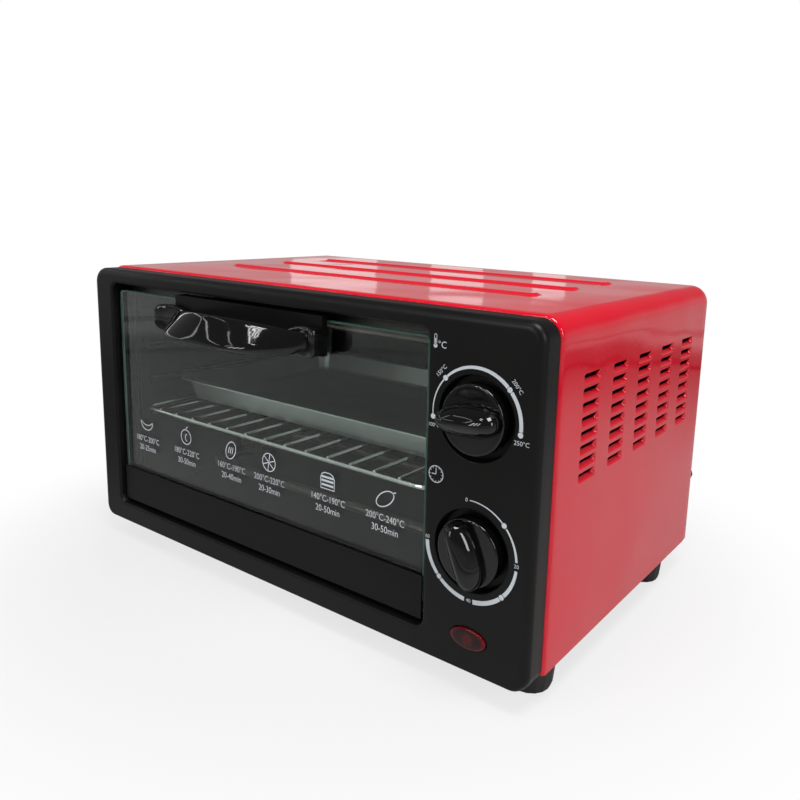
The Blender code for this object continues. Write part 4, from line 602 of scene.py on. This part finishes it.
def lettering(words, size, x, z, turn=0.0, y=FRONT - PRINT_LIFT, narrow=1.0):
    """Plain numbers and units as flat triangles, centred on a place and turned there."""
    curve = bpy.data.curves.new("lettering", "FONT")
    curve.body, curve.size = words, size
    curve.align_x, curve.align_y = "CENTER", "CENTER"
    curve.resolution_u = 3
    holder = bpy.data.objects.new("lettering", curve)
    bpy.context.scene.collection.objects.link(holder)
    mesh = bpy.data.meshes.new_from_object(holder.evaluated_get(bpy.context.evaluated_depsgraph_get()))
    mesh.calc_loop_triangles()
    flat = np.zeros(len(mesh.vertices) * 3)
    faces = np.zeros(len(mesh.loop_triangles) * 3, int)
    mesh.vertices.foreach_get("co", flat)
    mesh.loop_triangles.foreach_get("vertices", faces)
    bpy.data.objects.remove(holder)
    flat = flat.reshape(-1, 3)[:, :2] * (narrow, 1)
    angle = math.radians(turn)
    turned = flat @ np.array([[math.cos(angle), math.sin(angle)], [-math.sin(angle), math.cos(angle)]])
    return on_front(turned + (x, z), y), faces.reshape(-1, 3)


def about(z, radius, degrees):
    """A place on a scale, that far round from the right."""
    turn = math.radians(degrees)
    return DIAL_X + radius * math.cos(turn), z + radius * math.sin(turn)


def scale_print(z, radius, arcs, dots):
    """The dots of a dial and its arcs, each given by its start and end in degrees and its two widths."""
    return ([printed_arc(DIAL_X, z, radius, *arc) for arc in arcs]
            + [printed_dot(*about(z, radius, angle), SCALE_DOT) for angle in dots])


def temperature_print():
    """Scale and numbers, then the thermometer: a circle with its halves set apart, bulb and column."""
    z = TEMPERATURE_Z
    sheets = scale_print(z, TEMPERATURE_SCALE, TEMPERATURE_ARCS, (187, 136, 43.5, -7))
    sheets += [lettering("100°C", 2.7, *about(z, 25.3, 197.0)),
               lettering("250°C", 3.2, *about(z, 26.6, -15.5)),
               lettering("150°C", 3.0, *about(z, 29.0, 135.0), 47.0),
               lettering("200°C", 3.0, *about(z, 29.2, 41.0), -49.0)]
    turn = np.radians(np.linspace(0, 360, 25)[:-1])
    cos, sin = np.cos(turn), np.sin(turn)
    tube = np.stack([THERMOMETER_X + TUBE * cos,
                     TUBE_Z + TUBE * sin + 2.0 * np.sign(sin) * (np.abs(sin) > 0.01)], 1)
    column = [(THERMOMETER_X, BULB_Z + rise) for rise in (0, 1.8, 3.6)]
    sheets += [printed_line(tube, 0.28, True), printed_dot(THERMOMETER_X, BULB_Z, BULB),
               printed_line(column, 0.6), lettering("°C", 4.8, 124.4, 179.4)]
    return sheets


def timer_print():
    """Scale and numbers, then the clock: a ring, twelve marks and two hands that start in its middle."""
    sheets = scale_print(TIMER_Z, TIMER_SCALE, TIMER_ARCS, (45, -44, -134))
    sheets += [lettering(words, 2.8, *about(TIMER_Z, TIMER_SCALE, angle)) for words, angle in
               (("0", 97.0), ("20", 0.0), ("40", -90.0), ("60", 178.5))]
    turn = np.radians(np.arange(0, 360, 9))
    clock = np.array((CLOCK_X, CLOCK_Z))
    sheets.append(printed_line(clock + CLOCK * np.stack([np.cos(turn), np.sin(turn)], 1), 0.45, True))
    for angle in np.radians(np.arange(0, 360, 30)):
        direction = np.array((math.cos(angle), math.sin(angle)))
        sheets.append(printed_line([clock + reach * direction for reach in CLOCK_MARK], 0.3))
    for hand in CLOCK_HANDS:
        sheets.append(printed_line([clock + share * np.array(hand) for share in (0, 0.5, 1)], 0.45))
    return sheets


PALE_PRINT = mottled("pale_screen_print", (186, 192, 198), (206, 211, 216), (0.0012,), Roughness=0.55)
for name, sheets in (("temperature_scale", temperature_print()), ("timer_scale", timer_print())):
    scale = formed(name, sheets, PALE_PRINT, weld=False)
    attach(scale, "oven")

# ------------------------------------------------------------
# Door pane: 4 mm tempered glass with ground edges, clamped in the black channel below and between the
# handle and its backing strip above. Soda-lime glass, clear with a faint green cast that its ground edge
# gathers. Cooking hints are printed on its front in pale enamel.
PANE = (-156.0, 113.5, 37.8, 182.0, 3.0)
PANE_FRONT, PANE_BACK, ARRIS = -96.4, -92.4, 0.6
HINT_PLACES = (-129.6, -85.6, -40.0, -4.7, 44.2, 86.7)
HINT_LINES = (("180°C-200°C", "20-25min"), ("180°C-220°C", "30-50min"), ("160°C-190°C", "20-40min"),
              ("200°C-220°C", "20-30min"), ("140°C-190°C", "20-50min"), ("200°C-240°C", "30-50min"))
SIGN_Z, RANGE_Z, TIME_Z, SIGN_SCALE, HINT_SIZE = 90.0, 78.7, 72.2, 1.25, 5.7
SIGN_LINE, CRUST_LINE = 0.65, 1.3
PANE_PRINT = PANE_FRONT - 0.05


def pane():
    """A closed slab: both flats end in a ground bevel."""
    stations = ((ARRIS, PANE_FRONT), (0, PANE_FRONT + ARRIS), (0, PANE_BACK - ARRIS), (ARRIS, PANE_BACK))
    rings = [rounded_ring(*PANE, inset, y) for inset, y in stations]
    return [band(rings), flat_sheet(rings[0], []), flat_sheet(rings[-1], [])]


GLASS = mottled("tempered_glass", (216, 223, 219), (224, 231, 227), (0.05, 3.0), (0.004, 0.012),
                IOR=1.36, Transmission_Weight=1.0)
GLASS_EDGE = mottled("green_ground_edge", (84, 122, 110), (104, 142, 130), (0.0006,), (0.25, 0.15),
                     Transmission_Weight=0.35, IOR=1.45)
glass = formed("door_pane_glass", pane(), GLASS, sharp=20)
glass.data.materials.append(GLASS_EDGE)
facing = np.zeros(len(glass.data.polygons) * 3)
glass.data.polygons.foreach_get("normal", facing)
glass.data.polygons.foreach_set("material_index", (np.abs(facing[1::3]) < 0.9).astype(np.int32))
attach(glass, "door")
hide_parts("door_glass")


def oval_line(half_x, half_z, start, end, x=0.0, z=0.0, tilt=0.0):
    """Part of an oval about (x, z), tilted about its middle, as points of a line."""
    turn = np.radians(np.linspace(start, end, 24))
    slope = math.radians(tilt)
    along, beside = half_x * np.cos(turn), half_z * np.sin(turn)
    return np.stack([x + along * math.cos(slope) - beside * math.sin(slope),
                     z + along * math.sin(slope) + beside * math.cos(slope)], 1)


def food_signs():
    """Six plain food signs, in mm from the middle of each: a ring sausage, an apple, a slashed roll, a
    flat bread cut in wedges, a tin loaf and a yam. Each has closed lines, open lines and a width for the
    open ones."""
    tip = np.array(((4.9, -0.6), (5.6, 0.6), (4.9, 1.4)))
    sausage = [oval_line(5.2, 4.2, 200, 340, z=0.8), oval_line(5.2, 3.0, 200, 340, z=2.4),
               tip * (-1, 1), tip]
    apple = [[(0.0, 3.4), (0.6, 4.8), (1.8, 5.4)], oval_line(1.8, 1.9, 100, 260, x=1.2, z=-0.6)]
    slashes = [[(x - 0.5, -1.7), (x, 0.0), (x + 0.5, 1.7)] for x in (-1.4, 0.0, 1.4)]
    wedges = [np.outer((-4.2, 0, 4.2), (math.cos(angle), math.sin(angle)))
              for angle in np.radians((20, 80, 140))]
    half_loaf = [(4.2, -4.0), (4.2, 1.2), (3.4, 2.9), (1.6, 3.7)]
    loaf = [(-x, z) for x, z in half_loaf] + half_loaf[::-1]
    crusts = [[(-3.7, z), (0.0, z), (3.7, z)] for z in (-2.2, -0.2, 1.6)]
    return (([], sausage, SIGN_LINE),
            ([oval_line(4.2, 4.0, 0, 345, z=-0.4)], apple, SIGN_LINE),
            ([oval_line(5.0, 3.4, 0, 345, tilt=60)], slashes, SIGN_LINE),
            ([oval_line(4.5, 4.5, 0, 345)], wedges, SIGN_LINE),
            ([loaf], crusts, CRUST_LINE),
            ([oval_line(5.6, 2.9, 0, 345, tilt=35)], [[(4.2, 3.2), (5.3, 4.0), (6.0, 4.1)]], SIGN_LINE))


hint_sheets = []
for x, (closed_lines, open_lines, open_width) in zip(HINT_PLACES, food_signs()):
    drawn = [(line, SIGN_LINE, True) for line in closed_lines]
    for line, width, closed in drawn + [(line, open_width, False) for line in open_lines]:
        places = np.asarray(line, float) * SIGN_SCALE + (x, SIGN_Z)
        hint_sheets.append(printed_line(places, width, closed, PANE_PRINT))
for x, (heat, time) in zip(HINT_PLACES, HINT_LINES):
    hint_sheets.append(lettering(heat, HINT_SIZE, x, RANGE_Z, 0, PANE_PRINT, 0.86))
    hint_sheets.append(lettering(time, HINT_SIZE, x, TIME_Z, 0, PANE_PRINT, 0.88))
hints = formed("pane_hints", hint_sheets, PALE_PRINT, weld=False)
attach(hints, "door")

# ------------------------------------------------------------
# Handle: a bowed bar moulded in gloss black, thickest at its middle, that runs into a swelling pad at
# each end. Two screws through the pane hold it to the backing strip.
DOOR_MIDDLE, BAR_HIGH_HALF, BAR_LOW_HALF = -21.25, 65.0, 62.6
BAR_HIGH_Z, BAR_LOW_Z = (174.2, 182.3), (167.9, 165.8)
BAR_THICKNESS, BAR_SEAT = 6.2, -101.6
BAR_START, BAR_HIGH_REACH, BAR_LOW_REACH = FRONT - 1.5, 26.0, 33.5
PAD_SEAT, PAD_ENDS, PAD_LENGTH = -101.0, (76.0, 68.0), 26.0
PAD_DEPTH, PAD_LOW, PAD_HEIGHT = 9.0, 161.0, 18.0
PAD_STATIONS = np.array(((0.0, 0.33, 0.33, 0.83), (0.23, 0.50, 0.11, 0.94), (0.46, 0.56, 0.0, 1.0),
                         (0.70, 0.72, 0.03, 1.0), (0.88, 1.0, 0.12, 0.97), (0.97, 0.95, 0.22, 0.92),
                         (1.0, 0.80, 0.32, 0.86)))


def handle_bar():
    """The upper front edge reaches out as 1 - |s|^1.5 and the lower one as 1 - |s|^3.2 along the bar.
    Each section is a soft rectangle between the two edges, of an even thickness behind them."""
    s = np.linspace(-1, 1, 73)[:, None]
    size = np.abs(s)
    rise = 1 - size ** 2
    high = np.concatenate([DOOR_MIDDLE + BAR_HIGH_HALF * s, BAR_START - BAR_HIGH_REACH * (1 - size ** 1.5),
                           BAR_HIGH_Z[0] + (BAR_HIGH_Z[1] - BAR_HIGH_Z[0]) * rise], 1)
    low = np.concatenate([DOOR_MIDDLE + BAR_LOW_HALF * s, BAR_START - BAR_LOW_REACH * (1 - size ** 3.2),
                          BAR_LOW_Z[0] + (BAR_LOW_Z[1] - BAR_LOW_Z[0]) * rise], 1)
    face = low - high
    length = np.linalg.norm(face, axis=1, keepdims=True)
    face /= length
    inwards = np.stack([np.zeros(len(s)), -face[:, 2], face[:, 1]], 1)
    inwards /= np.linalg.norm(inwards, axis=1, keepdims=True)
    room = (BAR_SEAT - np.minimum(high[:, 1], low[:, 1])) / inwards[:, 1]
    depth = np.minimum(BAR_THICKNESS, room)[:, None]
    across, through = soft_square(40, 0.34)
    middle = (high + low) / 2 + inwards * depth / 2
    rows = (middle[:, None] + face[:, None] * (length / 2 * across)[:, :, None]
            + inwards[:, None] * (depth / 2 * through)[:, :, None])
    return capped(rows)


def handle_pad(sign, end):
    """Sections across the pad between stations that a smooth curve joins; the tip is closed by rings
    that shrink to its middle."""
    along = np.concatenate([np.linspace(0, 0.96, 25), [0.975, 0.99, 1.0]])
    reach, low, high = [smooth_through(along, PAD_STATIONS[:, 0], PAD_STATIONS[:, k]) for k in (1, 2, 3)]
    shrink = np.ones(len(along))
    shrink[-3:] = (0.97, 0.9, 0.78)
    depth = PAD_DEPTH * reach * shrink
    centre_z = PAD_LOW + PAD_HEIGHT * (low + high) / 2
    half_z = PAD_HEIGHT * (high - low) / 2 * shrink
    across, through = soft_square(44, 0.5)
    x = DOOR_MIDDLE + sign * (end - PAD_LENGTH * (1 - along))
    return capped(np.stack([x[:, None] + 0 * across, PAD_SEAT - depth[:, None] * (1 + through) / 2,
                            centre_z[:, None] + half_z[:, None] * across], 2))


def smooth_through(places, known, values):
    """A curve through known values: cubic between two of them, with the slope at each taken from its
    neighbours."""
    slope = np.gradient(values, known)
    step = np.clip(np.searchsorted(known, places, side="right") - 1, 0, len(known) - 2)
    width = known[step + 1] - known[step]
    t = (places - known[step]) / width
    return (values[step] * (1 + 2 * t) * (1 - t) ** 2 + values[step + 1] * t * t * (3 - 2 * t)
            + width * t * (1 - t) * (slope[step] * (1 - t) - slope[step + 1] * t))


bar = formed("handle_bar", [handle_bar()], GLOSS_BLACK, sharp=60)
pads = [formed("handle_pad_" + side, [handle_pad(sign, end)], GLOSS_BLACK, sharp=60)
        for side, sign, end in zip(("left", "right"), (-1, 1), PAD_ENDS)]
for piece in [bar] + pads:
    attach(piece, "door")
    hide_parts("handle")

# ------------------------------------------------------------
# Black metal and moulded parts kept as built: the channel under the pane, the moulded plate under
# the handle, the rear cover, the feet, the spacers and the cord bush. The sheet is sprayed: a fine
# spatter in the bump and cloudy gloss.
SPATTER = (0.0012, 2.0, 0.00003)


def dress(finish, *starts):
    """Gives a finish to nodes that keep their shape, by the starts of their names."""
    for name in nodes:
        if name.startswith(starts):
            for slot in nodes[name].material_slots:
                slot.material = finish


RAIL_BLACK = mottled("black_painted_rail", (12, 12, 12), (17, 17, 17), (0.03, 3.0), (0.3, 0.12),
                     SPATTER, Specular_IOR_Level=0.14)
REAR_BLACK = mottled("black_painted_rear", (22, 22, 23), (30, 30, 31), (0.03, 3.0), (0.45, 0.12),
                     SPATTER, Specular_IOR_Level=0.35)
PLATE_BLACK = moulded_black("plate_black_moulding", 12, 0.3, 0.00002, Specular_IOR_Level=0.12)
FOOT_BLACK = moulded_black("foot_black_moulding", 24, 0.6, 0.00005)
RUBBER = moulded_black("bush_rubber", 30, 0.75, 0.00006)
dress(RAIL_BLACK, "door_lower_rail")
dress(PLATE_BLACK, "door_top_plate")
dress(REAR_BLACK, "rear_cover")
dress(FOOT_BLACK, "foot_", "rear_spacer")
dress(RUBBER, "cord_inlet")

# ------------------------------------------------------------
# Lining of the cavity and the other bare sheet: aluminised or zinc-coated steel, folded and spot
# welded. The coating shows a fine spangle and rolled streaks.


def coated_steel(name, low, high, roughness, streak_axis):
    """Metal whose tone follows a cell pattern and streaks drawn out along one axis."""
    finish = Finish(name, Metallic=0.85)
    stretch = [60.0, 60.0, 60.0]
    stretch["XYZ".index(streak_axis)] = 2.5
    places = {0: finish.place(), 1: stretch}
    drawn = finish.node("ShaderNodeVectorMath", {"operation": "MULTIPLY"}, places)
    streak = finish.node("ShaderNodeTexNoise", None, {"Vector": drawn, "Scale": 8.0, "Detail": 3.0})
    cell = finish.node("ShaderNodeTexVoronoi", None, {"Vector": finish.place(), "Scale": 260.0})
    tone = streak * 0.65 + cell * 0.35
    return finish.feed(Base_Color=finish.between(tone, low, high), Roughness=roughness + tone * 0.15,
                       Normal=finish.bumped(tone, 0.00001))


# The lining's dark grey, darker than bare aluminised sheet, is painted shade of the closed cavity.
SHADED_LINING = coated_steel("aluminised_lining_painted_shade", (50, 50, 49), (72, 72, 70), 0.32, "X")
ZINC = coated_steel("zinc_coated_sheet", (120, 122, 124), (158, 160, 162), 0.34, "Y")
# The heat shield and timer parts behind the louvres are a dull zinc made darker: painted shade of the
# closed control compartment.
DULL_SHADED_ZINC = coated_steel("dull_zinc_sheet_painted_shade", (58, 59, 60), (78, 79, 80), 0.5, "Y")
SCREW_STEEL = coated_steel("plated_screw_steel", (150, 150, 148), (186, 186, 182), 0.24, "Z")
dress(SHADED_LINING, "cavity_")
dress(ZINC, "base_pan", "control_bracket")
dress(DULL_SHADED_ZINC, "heat_shield", "timer_body", "timer_bell")
dress(SCREW_STEEL, "rear_screw", "handle_screw", "hinge_", "handle_backing_strip", "door_spring",
      "thermostat_shaft", "timer_shaft")

# ------------------------------------------------------------
# Heaters, rack, tray and wiring. The heaters are steel tubes bent to a U and tinted by heat, in ceramic
# bushes on the right and sheet clips on the left; the thermostat body is ceramic too. The rack is welded
# wire with bright plating, the tray bright aluminised sheet, and the rest nylon and silicone.
HEATED_STEEL = mottled("heat_tinted_tube", (92, 84, 78), (124, 116, 112), (0.03, 2.0), (0.36, 0.14),
                       (0.001, 2.0, 0.00002), Metallic=0.8)
CERAMIC = mottled("fired_ceramic", (222, 214, 198), (236, 230, 218), (0.004, 3.0),
                  grain=(0.0008, 2.0, 0.00003), Roughness=0.6)
BRIGHT_WIRE = mottled("bright_plated_wire", (204, 206, 204), (226, 228, 226), (0.004, 3.0), (0.12, 0.1),
                      Metallic=1.0)
TRAY_SHEET = mottled("bright_tray_sheet", (168, 172, 170), (196, 200, 198), (0.02, 4.0), (0.28, 0.08),
                     (0.0011, 2.0, 0.000001), Metallic=0.85)
# Nylon and silicone parts behind the louvres are kept dark grey: painted shade of the closed control
# compartment.
SHADED_NYLON, SHADED_SILICONE = [mottled(name, low, high, (0.008,), grain=(0.0008, 2.0, 0.00002), Roughness=0.5)
                   for name, low, high in (("nylon_painted_shade", (26, 26, 27), (36, 36, 37)),
                                           ("silicone_sleeve_painted_shade", (60, 58, 56), (78, 76, 72)))]
dress(HEATED_STEEL, "upper_heater", "lower_heater", "heater_clip")
dress(CERAMIC, "thermostat_body", "heater_bush")
dress(BRIGHT_WIRE, "wire_rack")
dress(TRAY_SHEET, "baking_tray")
dress(SHADED_NYLON, "lamp_housing", "terminal_block")
dress(SHADED_SILICONE, "lead_")

# ------------------------------------------------------------
# Studio: a floor that the camera sees as white, a pale world, soft boxes, thin lamps that stand for the
# windows and tubes mirrored in the enamel, glass and gloss black, and the camera. Sizes in m and W, only
# the floor's half width in mm.
FLOOR_HALF = 6000
WHITE_SPAN, WHITE_UNDER, WHITE_BEYOND = (0.17, 0.34), 0.74, 0.26
# A painted pool of light on the floor right of the oven, and painted paler light beyond a rim, both
# mirrored as a white glow in the enamel.
PAINTED_POOL_PLACE, PAINTED_POOL_SPAN, PAINTED_POOL_MIRRORED = (0.3, 0.05, 0.0), (0.85, 0.25), 0.04
RIM_SPAN, RIM_MIRRORED = (1.02, 1.22), 0.3
SEAMS = ((0.93, 0.02), (1.3, 0.04))
SKY_LIGHT, SKY_SEEN, SKY_MIRRORED, SKY_HORIZON = 0.42, 0.58, -0.25, 0.26
HORIZON_SPAN = (0.28, 0.04)
OVEN_MIDDLE, OVEN_FRONT = (0, 0, 0.1), (0, -0.13, 0.17)
CAMERA_PLACE = (0.33624, -0.40021, 0.24486)
YAW, PITCH, ROLL = math.radians(-36.12), math.radians(-10.65), math.radians(1.62)
LENS, SENSOR, SHIFT_X, SHIFT_Y = 771.3 / 800 * 36, 36.0, -0.0388, -0.0601

# Each lamp: name, place, aim, width, height and power.
LAMPS = [("key_box", (0.45, -0.25, 1.4), OVEN_MIDDLE, 0.5, 0.5, 14),
         ("side_box", (1.7, -0.5, 0.9), (0.1, 0, 0.1), 0.3, 0.9, 10)]
LAMPS += [("window_pane_" + str(number), (x, -1.5, 0.85), OVEN_MIDDLE, 0.1, 0.7, 2.4)
          for number, x in enumerate((-0.62, -0.4, -0.18))]
LAMPS += [("tube_" + str(number), (-0.28 + 0.035 * number, -0.66, 1.34), OVEN_FRONT, 0.01, 0.18, 0.2)
          for number in range(5)]
LAMPS += [("cross_tube", (-0.2, -0.8, 1.34), OVEN_FRONT, 0.25, 0.012, 0.25),
          ("pane_bar_0", (-0.85, -0.85, 1.32), OVEN_FRONT, 0.5, 0.04, 0.28),
          ("pane_bar_1", (-1.05, -1.0, 0.86), OVEN_FRONT, 0.5, 0.04, 0.28),
          ("pane_bar_2", (-1.2, -0.7, 1.07), OVEN_FRONT, 0.04, 0.45, 0.28),
          ("pane_bar_3", (-0.7, -1.15, 1.07), OVEN_FRONT, 0.04, 0.45, 0.28),
          ("side_pane_high", (-1.6, -0.35, 0.85), OVEN_FRONT, 1.1, 0.08, 0.6),
          ("side_pane_low", (-1.6, -0.35, 0.4), OVEN_FRONT, 1.1, 0.05, 0.4),
          ("side_pane_near", (-1.5, -0.9, 0.62), OVEN_FRONT, 0.08, 0.45, 0.3),
          ("side_pane_far", (-1.7, 0.25, 0.62), OVEN_FRONT, 0.06, 0.45, 0.25),
          ("rear_window_0", (-1.7, 1.75, 0.42), (0, 0, 0.2), 0.32, 0.2, 0.096),
          ("rear_window_1", (-1.34, 2.05, 0.42), (0, 0, 0.2), 0.2, 0.2, 0.06),
          ("rear_window_2", (-1.02, 2.2, 0.42), (0, 0, 0.2), 0.12, 0.2, 0.036)]


def studio_floor():
    """A square grid that is flat under the oven."""
    side = np.linspace(-FLOOR_HALF, FLOOR_HALF, 25)
    x, y = np.meshgrid(side, side, indexing="ij")
    return np.stack([x, y, np.zeros_like(x)], 2), grid_faces(*x.shape)


def white_floor():
    """Matt grey, with a painted pool of light to the right of the oven and painted paler light beyond a
    rim, and two dark seams in circles round the oven, for the enamel to mirror; mirroring rays see the
    pool and the ground beyond the rim glow white, as painted reflections. The camera, straight or through
    glass, sees it brightened to white, least under the oven, so that it fades into the background and
    keeps the feet's shadow."""
    finish = Finish("white_floor", Roughness=0.9, Specular_IOR_Level=0.0)
    camera, glossy, through = finish.rays()
    away = finish.distance((0.0, 0.0, 0.0))
    far, rim = finish.ramp(away, *WHITE_SPAN), finish.ramp(away, *RIM_SPAN)
    # near: the share of the painted pool of light right of the oven.
    near = finish.ramp(finish.distance(PAINTED_POOL_PLACE), *PAINTED_POOL_SPAN)
    inner, outer = [away.work("ABSOLUTE", away - place) < half for place, half in SEAMS]
    # Painted light: the grey is paler in the pool and beyond the rim.
    pale = finish.between(rim, finish.between(near, (117, 117, 117), (190, 190, 190)), (196, 196, 196))
    finish.feed(Base_Color=finish.between(inner + outer, pale, (24, 24, 24)))
    straight = camera.work("MAXIMUM", camera, through)
    # Mirroring rays see the pool and the ground beyond the rim glow white: painted reflections.
    share = (straight * (WHITE_UNDER + far * WHITE_BEYOND)
             + glossy * (near * PAINTED_POOL_MIRRORED + rim * RIM_MIRRORED))
    grey, white = Reading(finish, finish.shader.outputs[0]), finish.node("ShaderNodeEmission")
    mixed = finish.node("ShaderNodeMixShader", None, {0: share, 1: grey, 2: white})
    finish.tree.links.new(mixed.socket, finish.tree.nodes["Material Output"].inputs["Surface"])
    return finish.material


def stand(holder, right, up, back, place):
    """Links a lamp or camera and sets its three axes and its place."""
    matrix = np.eye(4)
    matrix[:3] = np.stack([right, up, back, place], 1)
    holder.matrix_world = Matrix(matrix.tolist())
    bpy.context.scene.collection.objects.link(holder)


def soft_box(name, place, aim, width, height, power):
    """An area lamp that looks at a point and that the camera doesn't see."""
    lamp = bpy.data.lights.new(name, "AREA")
    lamp.shape, lamp.size, lamp.size_y, lamp.energy = "RECTANGLE", width, height, power
    holder = bpy.data.objects.new(name, lamp)
    away = np.array(place) - np.array(aim)
    away /= np.linalg.norm(away)
    side = np.cross((0.0, 0.0, 1.0), away)
    side /= np.linalg.norm(side)
    stand(holder, side, np.cross(away, side), away, place)
    holder.visible_camera = False


floor = formed("studio_floor", [studio_floor()], white_floor(), weld=False)

world = bpy.data.worlds.new("studio")
bpy.context.scene.world = world
world.use_nodes = True
sky = Wiring(world.node_tree)
camera_ray, mirrored, through = sky.rays()
generated = sky.node("ShaderNodeTexCoord", output="Generated")
height = sky.node("ShaderNodeSeparateXYZ", None, {0: generated}, "Z")
low = sky.ramp(height, *HORIZON_SPAN)
strength = (SKY_LIGHT + camera_ray.work("MAXIMUM", camera_ray, through) * SKY_SEEN
            + mirrored * (low * SKY_HORIZON + SKY_MIRRORED))
background = next(node for node in sky.tree.nodes if node.type == "BACKGROUND")
background.inputs["Color"].default_value = (1.0, 1.0, 1.0, 1.0)
sky.tree.links.new(strength.socket, background.inputs["Strength"])

for row in LAMPS:
    soft_box(*row)

ahead = np.array([math.sin(YAW) * math.cos(PITCH), math.cos(YAW) * math.cos(PITCH), math.sin(PITCH)])
level = np.array([math.cos(YAW), -math.sin(YAW), 0.0])
upright = np.cross(level, ahead)
right = level * math.cos(ROLL) + upright * math.sin(ROLL)
up = -level * math.sin(ROLL) + upright * math.cos(ROLL)
camera = bpy.data.cameras.new("camera")
camera.lens, camera.sensor_width = LENS, SENSOR
camera.shift_x, camera.shift_y = SHIFT_X, SHIFT_Y
camera.clip_start, camera.clip_end = 0.01, 30.0
holder = bpy.data.objects.new("camera", camera)
stand(holder, right, up, -ahead, CAMERA_PLACE)
bpy.context.scene.camera = holder
bpy.context.scene.view_settings.view_transform = "Standard"
